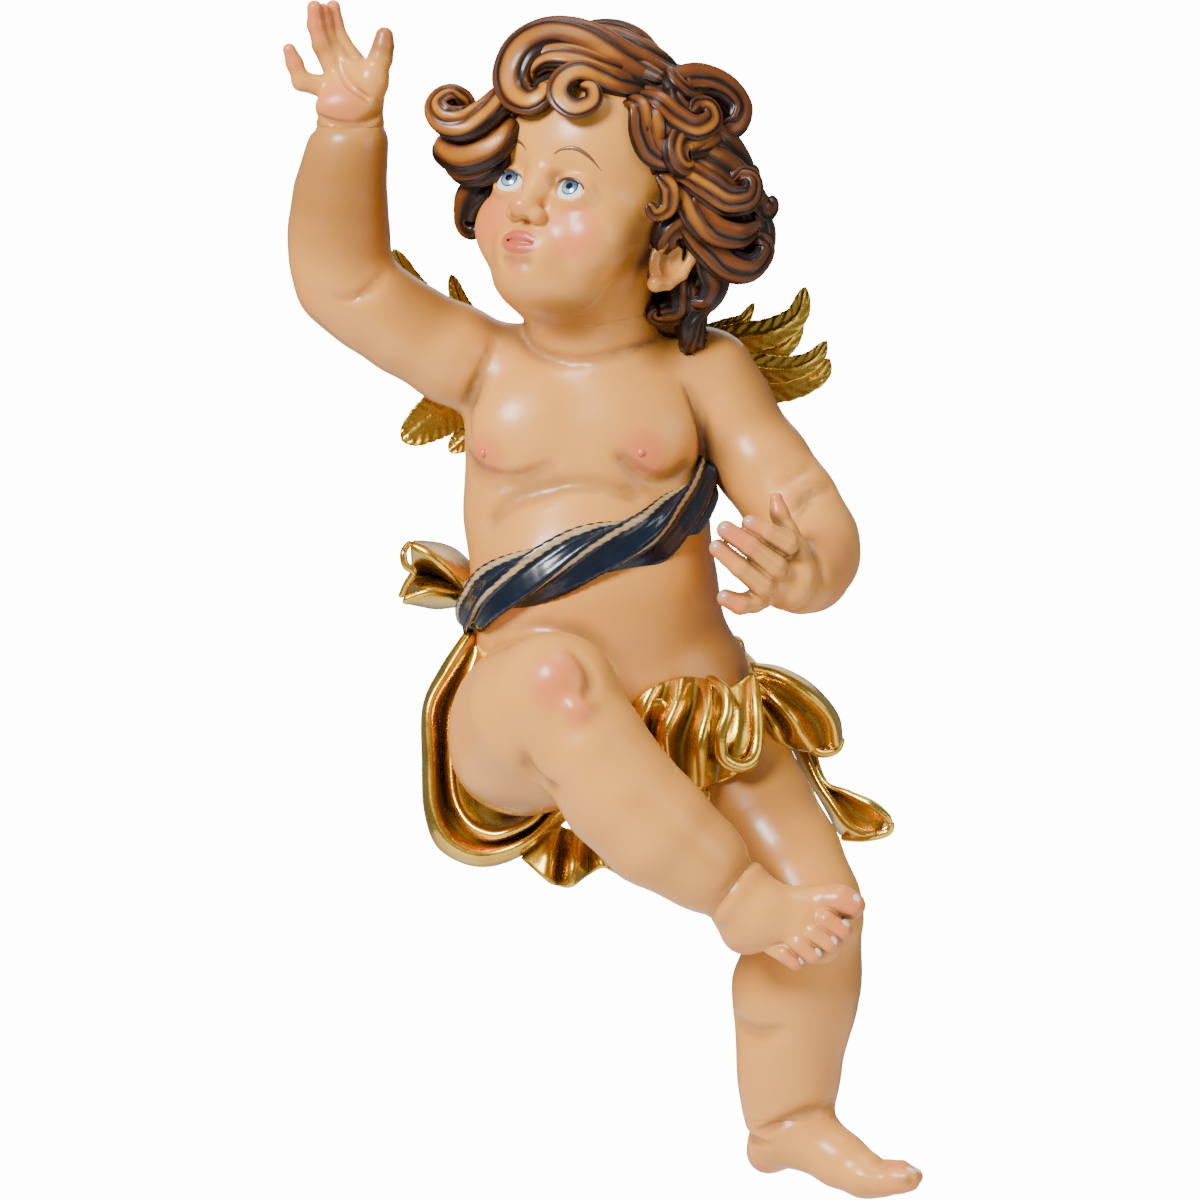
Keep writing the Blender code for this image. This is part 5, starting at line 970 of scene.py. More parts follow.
def seat_mound(b):
    """The swelling on the back that carries the wall seat, and the flats for the wings."""
    b.add(egg((SEAT[0], -22, SEAT[2]), (28.3, 27.5, 41.7)), 10)
    b.cut(beyond((0, 0, 0), (0, 1, 0)), 0)
    inner, outer, low, high = WING_FLAT
    for side in (-1, 1):
        middle = (SEAT[0] + side * (inner + outer) / 2, 10 - WING_FLAT_DEPTH / 2 - 5, (low + high) / 2)
        half = ((outer - inner) / 2, WING_FLAT_DEPTH / 2 + 5, (high - low) / 2)
        b.cut(brick(middle, half), 0.6)


@lru_cache(maxsize=None)
def whole_block(step):
    """The flesh of the whole figure."""
    b = Block(*FIGURE_BOX, step)
    for part in PARTS[:-1]:
        part(b)
    creases(b)
    return b


def body_block(step):
    """The flesh without head, hands and feet. The crossed leg is cut by itself: the shin behind it stays whole."""
    b, leg = Block(*FIGURE_BOX, step), Block(*FIGURE_BOX, step)
    for part in PARTS[:-1]:
        part(b if part not in (right_leg, right_toes) else leg)
    for block, seams in ((b, [s for s in SEAMS if s != "right_ankle"]), (leg, ["right_ankle"])):
        creases(block)
        for seam in seams:
            block.cut(past(seam), 0)
    b.values = smooth_min(b.values, leg.values, 10)
    return b


def head_block():
    """The head and the hair that lies close to it, to lay the locks on."""
    b = Block(*HAIR_BOX, 1.5)
    head(b)
    cap(b)
    return b


def hollows(block, verts, reach):
    """How deep each place lies in a recess, 0 to 1, for the painted shade and glaze: by how much the wood
    comes closer than reach to a point that lies reach outside it."""
    outside = verts + block.gradient(verts, block.step) * reach
    return np.clip(1 - block.sample(outside) / reach, 0, 1)


def fades(verts, spots):
    """Greatest of soft round spots: each falls from one at its middle to nothing at its radius."""
    out = np.zeros(len(verts))
    for middle, radius in spots:
        far = np.linalg.norm(verts - np.asarray(middle), axis=1) / radius
        out = np.maximum(out, np.clip(1 - far * far, 0, 1))
    return out


def build(name, shell, look, slot, nodes, sharp=None, **fields):
    """A piece in metres from the wall seat, with numbers for its finish on its points."""
    verts, quads, tris = shell
    sizes = bpy.context.scene.putto_sizes
    mesh = bpy.data.meshes.new(name)
    corners = np.r_[quads.ravel(), tris.ravel()].astype(np.int32)
    starts = np.r_[np.arange(len(quads)) * 4, len(quads) * 4 + np.arange(len(tris)) * 3].astype(np.int32)
    mesh.vertices.add(len(verts))
    mesh.vertices.foreach_set("co", ((verts - SEAT) * sizes.height / BLOCK_HEIGHT).astype(np.float32).ravel())
    mesh.loops.add(len(corners))
    mesh.loops.foreach_set("vertex_index", corners)
    mesh.polygons.add(len(starts))
    mesh.polygons.foreach_set("loop_start", starts)
    mesh.update(calc_edges=True)
    mesh.shade_smooth()
    if sharp:
        mesh.set_sharp_from_angle(angle=math.radians(sharp))
    for key, values in fields.items():
        mesh.attributes.new(key, "FLOAT", "POINT").data.foreach_set("value", np.asarray(values, np.float32).ravel())
    mesh.materials.append(look)
    piece = bpy.data.objects.new(name, mesh)
    bpy.context.scene.collection.objects.link(piece)
    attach(piece, "root")
    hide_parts(*nodes)
    return piece


# ---- finishes

class Looks:
    """Nodes of one finish, added in order and joined by name."""

    def __init__(self, name):
        self.material = bpy.data.materials.new(name)
        self.material.use_nodes = True
        self.tree = self.material.node_tree
        self.shader = self.tree.nodes["Principled BSDF"]

    def add(self, kind, **sockets):
        node = self.tree.nodes.new(kind)
        for key, value in sockets.items():
            self.feed(node, key.replace("_", " "), value)
        return node

    def feed(self, node, socket, value):
        target = node.inputs[int(socket) if socket.isdigit() else socket]
        if isinstance(value, bpy.types.NodeSocket):
            self.tree.links.new(value, target)
        else:
            target.default_value = value

    def field(self, name):
        node = self.tree.nodes.new("ShaderNodeAttribute")
        node.attribute_name = name
        return node.outputs["Fac"]

    def noise(self, scale, detail=3.0):
        place = self.tree.nodes.new("ShaderNodeTexCoord").outputs["Object"]
        return self.add("ShaderNodeTexNoise", Vector=place, Scale=scale, Detail=detail, Roughness=0.55).outputs["Fac"]

    def steps(self, value, *stops):
        """Smooth ramp of colours over stops of place and colour."""
        node = self.add("ShaderNodeValToRGB", Fac=value)
        ramp = node.color_ramp
        while len(ramp.elements) < len(stops):
            ramp.elements.new(0.5)
        for element, (at_, colour) in zip(ramp.elements, stops):
            element.position = at_
            element.color = (*colour, 1)
        return node.outputs["Color"]

    def grey(self, value, low, high, to_low=0.0, to_high=1.0):
        node = self.add("ShaderNodeMapRange", Value=value)
        node.interpolation_type = "SMOOTHSTEP"
        for key, number in zip(("From Min", "From Max", "To Min", "To Max"), (low, high, to_low, to_high)):
            node.inputs[key].default_value = number
        return node.outputs["Result"]

    def sum(self, kind, a, b):
        node = self.tree.nodes.new("ShaderNodeMath")
        node.operation = kind
        self.feed(node, "0", a)
        self.feed(node, "1", b)
        return node.outputs[0]

    def mix(self, part, a, b, blend="MIX"):
        node = self.tree.nodes.new("ShaderNodeMix")
        node.data_type, node.blend_type = "RGBA", blend
        for socket, value in (("Factor", part), ("A", a), ("B", b)):
            targets = [s for s in node.inputs if s.name == socket and s.enabled]
            if isinstance(value, bpy.types.NodeSocket):
                self.tree.links.new(value, targets[0])
            else:
                targets[0].default_value = value if socket == "Factor" or len(value) == 4 else (*value, 1)
        return [s for s in node.outputs if s.name == "Result" and s.enabled][0]

    def clouded(self, scale, detail, low, high, share=1.0):
        """How far one tone gives way to another in soft patches."""
        return self.grey(self.noise(scale, detail), low, high, 0.0, share)

    def relief(self, height, depth, strength):
        bump = self.add("ShaderNodeBump", Strength=strength, Distance=depth, Height=height)
        self.tree.links.new(bump.outputs["Normal"], self.shader.inputs["Normal"])

    def set(self, **sockets):
        for key, value in sockets.items():
            self.feed(self.shader, key.replace("_", " "), value)
        return self.material


@lru_cache(maxsize=None)
def flesh_paint():
    """Flesh paint: warm ochre ground, blush laid on soft, lips, brown painted shade where shade falls, brown glaze in
    the creases mixed with painted shade in them and in broad recesses, satin varnish.
    """
    tone = bpy.context.scene.putto_tones
    k = Looks("Flesh paint")
    ground = k.mix(k.clouded(18.0, 4.0, 0.35, 0.7), tuple(tone.flesh), tuple(c * 0.90 for c in tone.flesh))
    ground = k.mix(k.clouded(420.0, 3.0, 0.3, 0.8, 0.25), ground, tuple(c * 0.86 for c in tone.flesh))
    pink = k.mix(k.sum("MULTIPLY", k.grey(k.field("blush"), 0.0, 1.0), 0.78), ground, tuple(tone.blush))
    lips = k.mix(k.grey(k.field("lips"), 0.15, 0.6), pink, tuple(tone.lips))
    # painted shade: brown laid on where shade falls on the flesh
    lips = k.mix(k.sum("MULTIPLY", k.grey(k.field("painted_shade"), 0.0, 1.0), 0.82), lips, tuple(tone.painted_shade))
    # brown glaze in the creases, and painted shade in them, in broad recesses and under the chin
    glaze = k.grey(k.sum("ADD", k.field("hollow"), k.sum("MULTIPLY", k.noise(90.0), 0.16)), 0.20, 0.95, 0.0, 0.92)
    k.relief(k.noise(260.0, 4.0), 0.00035, 0.22)
    return k.set(Base_Color=k.mix(glaze, lips, tuple(tone.glaze)),
                 Roughness=k.grey(k.noise(60.0), 0.3, 0.7, 0.30, 0.42), Specular_IOR_Level=0.3, Coat_Weight=0.24,
                 Coat_Roughness=0.22)


@lru_cache(maxsize=None)
def gold_leaf():
    """Burnished gold leaf: bright on the ridges; brown glaze with painted shade and painted dark reflection in the
    recesses, where the leaf is less metallic.
    """
    tone = bpy.context.scene.putto_tones
    k = Looks("Gold leaf")
    # painted shade and dark reflection mixed with brown glaze: darker brown and less metal in recesses and fold
    # valleys
    shade_and_glaze_depth = k.sum("ADD", k.field("hollow"), k.sum("MULTIPLY", k.noise(55.0, 5.0), 0.30))
    glaze = k.grey(shade_and_glaze_depth, 0.55, 1.25, 0.0, 0.85)
    leaf = k.mix(k.clouded(26.0, 4.0, 0.35, 0.75), tuple(tone.gold), tuple(tone.gold_deep))
    leaf = k.mix(k.clouded(700.0, 2.0, 0.62, 0.8, 0.5), leaf, tuple(tone.gold_deep))
    k.relief(k.sum("ADD", k.noise(150.0, 4.0), k.sum("MULTIPLY", k.noise(900.0, 2.0), 0.3)), 0.0007, 0.35)
    return k.set(Base_Color=k.mix(glaze, leaf, tuple(tone.gold_glaze_and_shade)), Metallic=k.grey(glaze, 0.2, 1.0, 1.0, 0.25),
                 Roughness=k.grey(k.noise(70.0), 0.3, 0.75, 0.20, 0.36))


@lru_cache(maxsize=None)
def hair_glaze_and_light():
    """Hair: brown with painted light and shade: a tan painted highlight on the ridges that darkens to a nearly black
    painted shade in the grooves, under gloss varnish.
    """
    tone = bpy.context.scene.putto_tones
    k = Looks("Hair glaze")
    shade = k.sum("ADD", k.field("hollow"), k.sum("MULTIPLY", k.noise(45.0, 4.0), 0.35))
    # painted highlight where the mask is low, painted shade where it is high
    base = k.steps(shade, (0.14, tuple(tone.hair_highlight)), (0.48, tuple(tone.hair)), (0.98, tuple(tone.hair_shade)))
    k.relief(k.noise(300.0, 3.0), 0.0003, 0.25)
    return k.set(Base_Color=base, Roughness=k.grey(k.noise(80.0), 0.3, 0.7, 0.32, 0.46), Specular_IOR_Level=0.32,
                 Coat_Weight=0.1, Coat_Roughness=0.12)


@lru_cache(maxsize=None)
def sash_paint():
    """Sash: gloss dark blue with pale stripes along the twist, and a near-black painted shade in the troughs between
    its strands.
    """
    tone = bpy.context.scene.putto_tones
    k = Looks("Sash paint")
    blue = k.mix(k.clouded(60.0, 4.0, 0.3, 0.75), tuple(tone.sash), tuple(c * 1.8 for c in tone.sash))
    line = k.grey(k.sum("ADD", k.field("stripe"), k.sum("MULTIPLY", k.noise(120.0), 0.08)), 0.965, 1.02)
    base = k.mix(line, blue, tuple(tone.sash_stripe))
    # painted shade: near black in the troughs of the twist
    base = k.mix(k.grey(k.field("hollow"), 0.4, 1.0, 0.0, 0.9), base, (0.006, 0.007, 0.010))
    k.relief(k.noise(240.0, 3.0), 0.0003, 0.2)
    return k.set(Base_Color=base, Roughness=0.26, Specular_IOR_Level=0.35, Coat_Weight=0.2, Coat_Roughness=0.08)


@lru_cache(maxsize=None)
def eye_paint():
    """Eyeball: pupil, blue iris with a dark rim, dark above where the lid's shade is painted on it and lighter below,
    warm white.
    """
    tone = bpy.context.scene.putto_tones
    k = Looks("Eye paint")
    off = k.field("off")
    # painted shade of the upper lid: the iris dark above, lighter below
    iris = k.mix(k.grey(k.field("below"), -0.2, 0.35), tuple(tone.iris), tuple(tone.iris_light))
    rings = k.steps(off, (0.10, (0.004, 0.004, 0.005)), (0.125, (1, 1, 1)), (0.235, (1, 1, 1)),
                    (0.262, (0.10, 0.12, 0.16)), (0.285, (0.10, 0.12, 0.16)))
    base = k.mix(1.0, iris, rings, "MULTIPLY")
    base = k.mix(k.grey(off, 0.28, 0.30), base, tuple(tone.eye_white))
    return k.set(Base_Color=base, Roughness=0.12, Coat_Weight=1.0, Coat_Roughness=0.03)


def plain_paint(name, colour, rough=0.4):
    """A line of paint or a nail: one tone, clouded a little, under varnish."""
    k = Looks(name)
    base = k.mix(k.clouded(200.0, 3.0, 0.3, 0.8), tuple(colour), tuple(c * 0.82 for c in colour))
    return k.set(Base_Color=base, Roughness=rough, Coat_Weight=0.3, Coat_Roughness=0.12)


# ---- pieces

BODY_BLUSH = [((-21, -196, -40), 19), ((-11, -200, -54), 11), ((106, -118, 14), 26), ((-130, -82, 158), 26),
              ((-56, -101, 73), 15), ((22, -114, 73), 16), ((100, -136, -160), 24)]
# painted shade: places where brown is laid on broadly where shade falls, on the side turned from the light, the
# raised forearm, the thigh behind the shin and between the raised fingers, with radii
SHADE_SPOTS = [((-122, -100, 205), 52), ((-90, -80, 150), 34), ((-52, -50, 140), 26), ((95, -62, 105), 50),
         ((88, -50, 60), 40), ((62, -80, 20), 42), ((62, -80, -30), 44), ((36, -85, 140), 34),
         ((72, -100, -110), 50), ((-40, -125, -104), 34), ((120, -80, 0), 30), ((20, -150, -128), 26),
         ((106, -90, -215), 26), ((60, -80, 70), 24), ((116, -92, -185), 42), ((-107, -113, 278), 13),
         ((-138, -104, 276), 9)]
# painted shade on the face, beside the nose, under the jaw, by the ear and on the side turned away: places in the
# head's frame and radii
FACE_SHADE_SPOTS = [(46, -40, 2, 24), (12, -76, 8, 24), (9, -20, 42, 8), (49, -37, -10, 7)]
FACE_BLUSH = [(25, -44, 38, 18), (-25, -44, 38, 18), (0, -39, 55, 6), (0, -66, 41, 7), (49, -48, -12, 7),
              (-49, -48, -12, 7)]
TIP_BLUSH = [((-130, -118, 247), 15), ((-142, -110, 292), 16), ((-154, -110, 272), 12), ((-134, -98, 294), 12),
             ((-107, -113, 282), 12), ((66, -166, 33), 20), ((62, -162, 2), 14), ((87, -152, 50), 12),
             ((122, -176, -158), 22), ((100, -174, -176), 14), ((70, -158, -172), 14), ((152, -116, -290), 20),
             ((76, -84, -284), 14)]


SEAM_REACH = {"neck": 52}      # how near a seam counts, 28 where none is given


def from_seams(verts):
    """How far each place lies past a seam that it is near to, and -99 where there is none."""
    out = np.full(len(verts), -99.0)
    for seam, (point, way, _, _) in SEAMS.items():
        near = np.linalg.norm(verts - np.asarray(point), axis=1) < SEAM_REACH.get(seam, 28)
        out = np.where(near, (verts - np.asarray(point)) @ unit(way), out)
    return out


def flesh_piece(name, block, sharp=None, **more):
    verts, quads = block.skin()
    blush, painted_shade = (fades(verts, spots + [(H(s, u, f), r) for s, u, f, r in on_face]) for spots,
                    on_face in ((BODY_BLUSH + TIP_BLUSH, FACE_BLUSH), (SHADE_SPOTS, FACE_SHADE_SPOTS)))
    whole = whole_block(bpy.context.scene.putto_sizes.body_step)
    past_seam = from_seams(verts)
    # the small reach gives brown glaze and painted shade in creases, the broad reach painted shade in broad recesses
    # and under the chin
    fine = np.where(np.abs(past_seam) < 7, hollows(whole, verts, 5.0), hollows(block, verts, 5.0))
    hollow = np.maximum(fine, 0.85 * hollows(whole, verts, 13.0))
    s, u, f = in_head(verts)
    hollow = hollow * (1 - 0.5 * np.clip((f - 12) / 14, 0, 1) * np.clip((u + 62) / 10, 0, 1))
    fields = dict(blush=blush, lips=np.zeros(len(verts)), hollow=hollow, painted_shade=painted_shade)
    fields.update({key: make(verts) for key, make in more.items()})
    share = np.clip(past_seam / SEAM_LAP, 0, 1)
    dip = share * (past_seam < 6) if sharp else (1 - share) * (past_seam > -6)
    verts = verts - block.gradient(verts) * (0.3 * dip)[:, None]
    return build(name, (verts, quads, NO_TRIS), flesh_paint(), "painted_flesh", FIGURE, sharp=sharp, **fields)


def nail(block, tip, way, face, half):
    """A nail: a low round shell, set where the line from the tip of its digit towards its face leaves the wood."""
    face = unit(face)
    way = unit(np.asarray(way) - face * (face @ np.asarray(way)))
    line = np.linspace(0, 10, 101)[:, None]
    spot = tip + face * line
    out = line[np.argmax(block.sample(spot) > 0), 0]
    s = np.linspace(-1, 1, NAIL_ROWS)
    bed = tip + way * (s[:, None] * half * 1.1) + face * (out - 0.75 - 0.35 * half * (s[:, None] * 0.9) ** 2)
    round_ = np.sqrt(np.clip(1 - np.abs(s) ** 3, 0.01, 1))
    return sweep(bed, half * round_, 0.9 * round_, face, NAIL_COLS, lambda u, v: -0.28 * half * v * v)


def over_face(block, s, u):
    """Depth along the face's forward axis where each place across and up meets it."""
    forward = np.linspace(62, 20, 2 * SIGHTS)
    places = H(np.repeat(s, len(forward)), np.repeat(u, len(forward)), np.tile(forward, len(s)))
    inside = block.sample(places).reshape(len(s), -1) < 0
    return forward[np.argmax(inside, 1)]


class PUTTO_OT_body(bpy.types.Operator):
    """Carve the trunk, arms and legs"""
    bl_idname = "putto.body"
    bl_label = "Body"

    def execute(self, context):
        b = body_block(context.scene.putto_sizes.body_step)
        seat_mound(b)
        flesh_piece("flesh_body", b, sharp=60)
        return {"FINISHED"}


NAIL_ROWS, NAIL_COLS = 14, 18
FINGERS = 10              # nails of the hands, which come first
# nails: middle of the tip, the way the digit points, the way the nail faces, half width
NAILS = [((74, -164, 37.5), (-0.8, -0.1, 0.35), (-0.1, -1, 0.45), 2.9),
         ((62, -166, 34.5), (-0.8, 0, 0.5), (-0.3, -1, 0.35), 3.1),
         ((58, -165, 25.5), (-0.7, 0, 0.6), (-0.4, -1, 0.3), 2.9),
         ((62, -161, 1), (-0.9, -0.2, 0.3), (-0.5, -1, 0.3), 2.9),
         ((87, -152, 50), (-0.2, -0.2, 1), (0.9, 0.3, 0.2), 2.2),
         ((-142.5, -111, 295.5), (0, -0.2, 1), (0, 1, 0.2), 2.2),
         ((-138.5, -105, 294.5), (0, -0.2, 1), (0, 1, 0.2), 2.2),
         ((-133.5, -99, 296.5), (0, -0.2, 1), (0.2, 1, 0.2), 2.3),
         ((-155, -110, 274.5), (0, -0.2, 1), (-0.3, 1, 0.2), 2.0),
         ((-107.5, -113, 281), (0, -0.1, 1), (0.4, 1, 0.1), 2.8),
         ((123.5, -174, -150), (1, -0.2, -0.3), (0.25, -0.8, 0.7), 3.3),
         ((118, -176, -161.5), (0.8, -0.1, -0.6), (0.4, -1, 0.4), 2.8),
         ((112, -176, -169), (0.8, -0.1, -0.7), (0.4, -1, 0.35), 2.7),
         ((104.5, -175, -174.5), (0.7, 0, -0.7), (0.35, -1, 0.3), 2.6),
         ((96.5, -172, -178), (0.6, 0, -0.7), (0.3, -1, 0.25), 2.4),
         ((153, -127, -288), (0.8, -0.5, 0), (0.2, -0.3, 1), 3.6),
         ((156.5, -119, -287), (0.8, -0.4, 0), (0.3, -0.2, 1), 2.6),
         ((155, -111, -288), (0.8, -0.4, 0), (0.3, -0.1, 1), 2.4),
         ((152, -105, -289), (0.8, -0.4, -0.1), (0.3, -0.1, 1), 2.3),
         ((147, -100, -290), (0.8, -0.4, -0.1), (0.3, -0.1, 1), 2.2)]


class PUTTO_OT_hands_and_feet(bpy.types.Operator):
    """Carve the hands and feet"""
    bl_idname = "putto.hands_and_feet"
    bl_label = "Hands and feet"

    def execute(self, context):
        step = context.scene.putto_sizes.hand_step
        nails = []
        for name, seam, parts, low, high in (
                ("hand_right", "right_wrist", (right_arm, right_hand), (-162, -125, 226), (-98, -82, 302)),
                ("hand_left", "left_wrist", (left_arm, left_hand), (50, -175, -18), (112, -118, 58)),
                ("foot_right", "right_ankle", (right_leg, right_toes), (42, -195, -188), (134, -140, -118)),
                ("foot_left", "left_ankle", (left_leg, left_toes), (66, -135, -302), (164, -66, -250))):
            b = Block(low, high, step)
            for part in parts:
                part(b)
            creases(b)
            b.cut(past(seam, other_way=True), 0)
            flesh_piece(name, b)
            for tip, way, face, half in NAILS:
                if (np.asarray(tip) > low).all() and (np.asarray(tip) < high).all():
                    nails.append(nail(b, np.asarray(tip, float), way, face, half))
        tone = context.scene.putto_tones
        build("nails_hands", merged(nails[:FINGERS]), plain_paint("Nail paint", tone.nail, 0.25), "painted_flesh",
              FIGURE)
        build("nails_feet", merged(nails[FINGERS:]), plain_paint("Toenail paint", tone.toenail, 0.25),
              "painted_flesh", FIGURE)
        return {"FINISHED"}


class PUTTO_OT_head(bpy.types.Operator):
    """Carve the head with its face and ears, and set the eyes, brows and lashes"""
    bl_idname = "putto.head"
    bl_label = "Head"

    def execute(self, context):
        step = context.scene.putto_sizes.head_step
        b = Block((-80, -170, 125), (90, -15, 280), step)
        torso(b)
        head(b)
        features(b)
        b.cut(past("neck", other_way=True), 0)

        def mouth(verts):
            s, u, f = in_head(verts)
            lens = 1 - (s / 12.6) ** 2 - ((u + 55.3) / 7.0) ** 2
            return np.clip(lens * 1.6, 0, 1) * np.clip(f - 37.0, 0, 1)

        flesh_piece("head", b, lips=mouth)
        tone = context.scene.putto_tones
        eyes, brows, lashes = [], [], []
        for side in (-1, 1):
            middle = H(*(EYE * (side, 1, 1)))
            eyes.append(eyeball(middle, EYE_R, unit(np.array([0.06, 0.20, 1.0]) @ AXES)))
            s = side * np.array([8.0, 12.5, 19.0, 25.5, 31.0])
            u = np.array([-9.5, -6.2, -4.6, -6.8, -11.5])
            line = H(s, u, over_face(b, s, u) + 0.05)
            brows.append(stroke(line, 1.05, 0.45, 0.3))
            t = np.radians(np.linspace(12, 168, 9))
            x, y = 8.6 * np.cos(t), 0.3 + 5.5 * np.sin(t)
            line = H(EYE[0] * side + x, EYE[1] + y, EYE[2] + np.sqrt((EYE_R + 1.6) ** 2 - x * x - y * y) - 0.25)
            lashes.append(stroke(line, 0.75, 0.55, 0.5))
        balls, off, below = zip(*eyes)
        build("eyes", merged(balls), eye_paint(), "painted_flesh", FIGURE, off=np.concatenate(off),
              below=np.concatenate(below))
        nubs = [eyeball(np.array(on_front(whole_block(context.scene.putto_sizes.body_step),
                                          [(px, py, 0)])[0][:3]) + (0, 0.4, 0), 2.4, np.array([0.0, -1.0, 0.1]), 16,
                        24)[0] for px, py in ((484, 453), (641, 453))]
        build("nubs", merged(nubs), plain_paint("Pink paint", tone.blush, 0.35), "painted_flesh", FIGURE)
        build("brows", merged(brows), plain_paint("Brow paint", tone.brow), "painted_hair", FIGURE)
        build("lashes", merged(lashes), plain_paint("Lash paint", tone.lash), "painted_hair", FIGURE)
        return {"FINISHED"}


def stroke(points, half, thick, start):
    """A thin line of paint along points on the head: full in its middle and drawn out at its ends."""
    path = even(points, 60)
    s = np.linspace(0, 1, 60)
    w = ends(s, start, 0.15, 0.4, 0.05)
    return sweep(path, half * w, thick * np.sqrt(w), rows_unit(path - HEAD), 12)


def eyeball(middle, radius, gaze, rings=44, around=64):
    """A ball about its gaze: at the angle t from it and the bearing p round it."""
    side = unit(np.cross(gaze, AXES[1]))
    up = np.cross(side, gaze)
    t = np.linspace(0, math.pi, rings + 1)[1:-1, None]
    p = np.arange(around)[None] * 2 * math.pi / around
    way = (np.cos(t)[..., None] * gaze + (np.sin(t) * np.cos(p))[..., None] * side + (np.sin(t) * np.sin(p))[...,
        None] * up)
    verts = np.vstack([(middle + radius * way).reshape(-1, 3), middle + radius * gaze, middle - radius * gaze])
    off = np.r_[np.repeat(t.ravel() / math.pi, around), 0, 1] * 2
    # how low each place lies on the ball, for the painted lid shade on the iris
    below = np.r_[-(np.sin(t) * np.sin(p)).ravel(), 0, 0]
    return (verts, *tube(rings - 1, around)), off, below


def lock_shell(k, block, points, half, curl, face, rows, cols):
    """A lock of hair: carved ridges that wander round a flattened round, dished along its middle, and the painted
    light and shade on it.
    """
    path = lock_path(points, curl, face, rows)
    out = rows_unit(path - HEAD + (0, -face, 0))
    w = lock_width(half, rows)
    dish = 0.30 * w[:, None]
    strands, drift = strands_of(k, half)
    shell = sweep(path, w, w * (0.62 if half < 8.4 else 0.85), out, cols, lambda u, v: dish * (v * v - 0.3),
                  strands=strands, deep=0.20, drift=drift)
    a = np.arange(cols)[None] * (2 * math.pi / cols)
    groove = grooved(a + drift * np.linspace(0, 1, rows)[:, None], strands)
    # painted shade in the grooves, at the edges and on the inner side of the lock, painted highlight along its outer
    # face between the grooves
    hollow = 0.75 * groove ** 0.7 + 0.62 * np.clip(1 - np.sin(a), 0, 1.5)
    # painted shade that darkens the locks further back and on the viewer's right
    back = 0.36 * np.clip((path[:, 1] + 128) / 40, 0, 1) + 0.14 * np.clip((path[:, 0] - 30) / 30, 0, 1)
    hollow = (hollow + back[:, None]).ravel()
    # painted shade where a lock lies close to the hair beneath it
    hollow = np.r_[hollow, 0.5, 0.5] + 0.60 * np.clip(1 - block.sample(shell[0]) / 9.0, 0, 1)
    return shell, hollow


class PUTTO_OT_hair(bpy.types.Operator):
    """Lay the locks of hair over the close hair"""
    bl_idname = "putto.hair"
    bl_label = "Hair"

    def execute(self, context):
        close = Block(*HAIR_BOX, context.scene.putto_sizes.hair_step)
        cap(close)
        verts, quads = close.skin()
        s, u, f = in_head(verts)
        bearing, high = np.arctan2(s, -f), np.arctan2(u, np.hypot(s, f))
        strand = np.abs(np.sin(11 * bearing + 1.6 * np.sin(4 * high + 3 * bearing)))
        verts = verts - close.gradient(verts) * (2.2 * (1 - strand) ** 2)[:, None]
        look = hair_glaze_and_light()
        # painted shade in the grooves between the strands of the close hair
        build("hair_close", (verts, quads, NO_TRIS), look, "painted_hair", FIGURE,
              hollow=np.clip(0.45 + 0.5 * (1 - strand), 0, 1))
        block = head_block()
        for name, in_front, rows, cols in (("locks_front", True, 72, 42), ("locks_back", False, 42, 28)):
            shells, hollow = zip(*(lock_shell(k, block, *lock, rows, cols) for k, lock in enumerate(locks(block))
                                   if (lock[3] > 0) == in_front))
            build(name, merged(shells), look, "painted_hair", FIGURE, hollow=np.concatenate(hollow))
        return {"FINISHED"}


class PUTTO_OT_cloth(bpy.types.Operator):
    """Carve the gilded cloth round the hips with its hanging ends"""
    bl_idname = "putto.cloth"
    bl_label = "Hip cloth"

    def execute(self, context):
        look = gold_leaf()
        b = Block((-70, -150, -120), (100, 8, 12), context.scene.putto_sizes.cloth_step)
        wrap(b)
        verts, quads = b.skin()
        # brown glaze and painted shade in the recesses of the cloth round the hips
        build("cloth_hips", (verts, quads, NO_TRIS), look, "gilding", FIGURE, hollow=hollows(b, verts, 5.0))
        shells, hollow = [], []
        for rails in SHEETS:
            rows, cols = 11 * (len(rails[0]) - 1) + 14, 10 * (len(rails) - 1)
            shell = draped(rails, rows, cols, SHEET_THICK)
            turned = np.linalg.norm(shell[0][0] - at(*rails[0][0])) > np.linalg.norm(shell[0][0] - at(*rails[-1][0]))
            v = np.linspace(0, len(rails) - 1, cols)[::-1 if turned else 1]
            # painted shade with glaze: dark along the sunken rails of each sheet, lighter on its crests, its back
            # face kept dark
            deep = 0.5 + 0.5 * np.cos(math.pi * v)
            shells.append(shell)
            hollow += [np.repeat(deep, rows), np.repeat(0.6 + 0.3 * (1 - deep), rows)]
        for points, half, thick in ROLLS:
            path = even([at(*p) for p in points], ROLL_ROWS)
            round_ = ends(np.linspace(0, 1, ROLL_ROWS), 0.7, 0.7, 0.5)
            shells.append(sweep(path, half * round_, thick * round_, FRONT, ROLL_COLS))
            # painted shade on the underside of each roll
            under = np.clip(-np.sin(np.arange(ROLL_COLS) * 2 * math.pi / ROLL_COLS), 0, 1)
            hollow.append(np.r_[np.tile(under, ROLL_ROWS), 0.4, 0.4])
        build("cloth_folds", merged(shells), look, "gilding", FIGURE, hollow=np.concatenate(hollow))
        return {"FINISHED"}


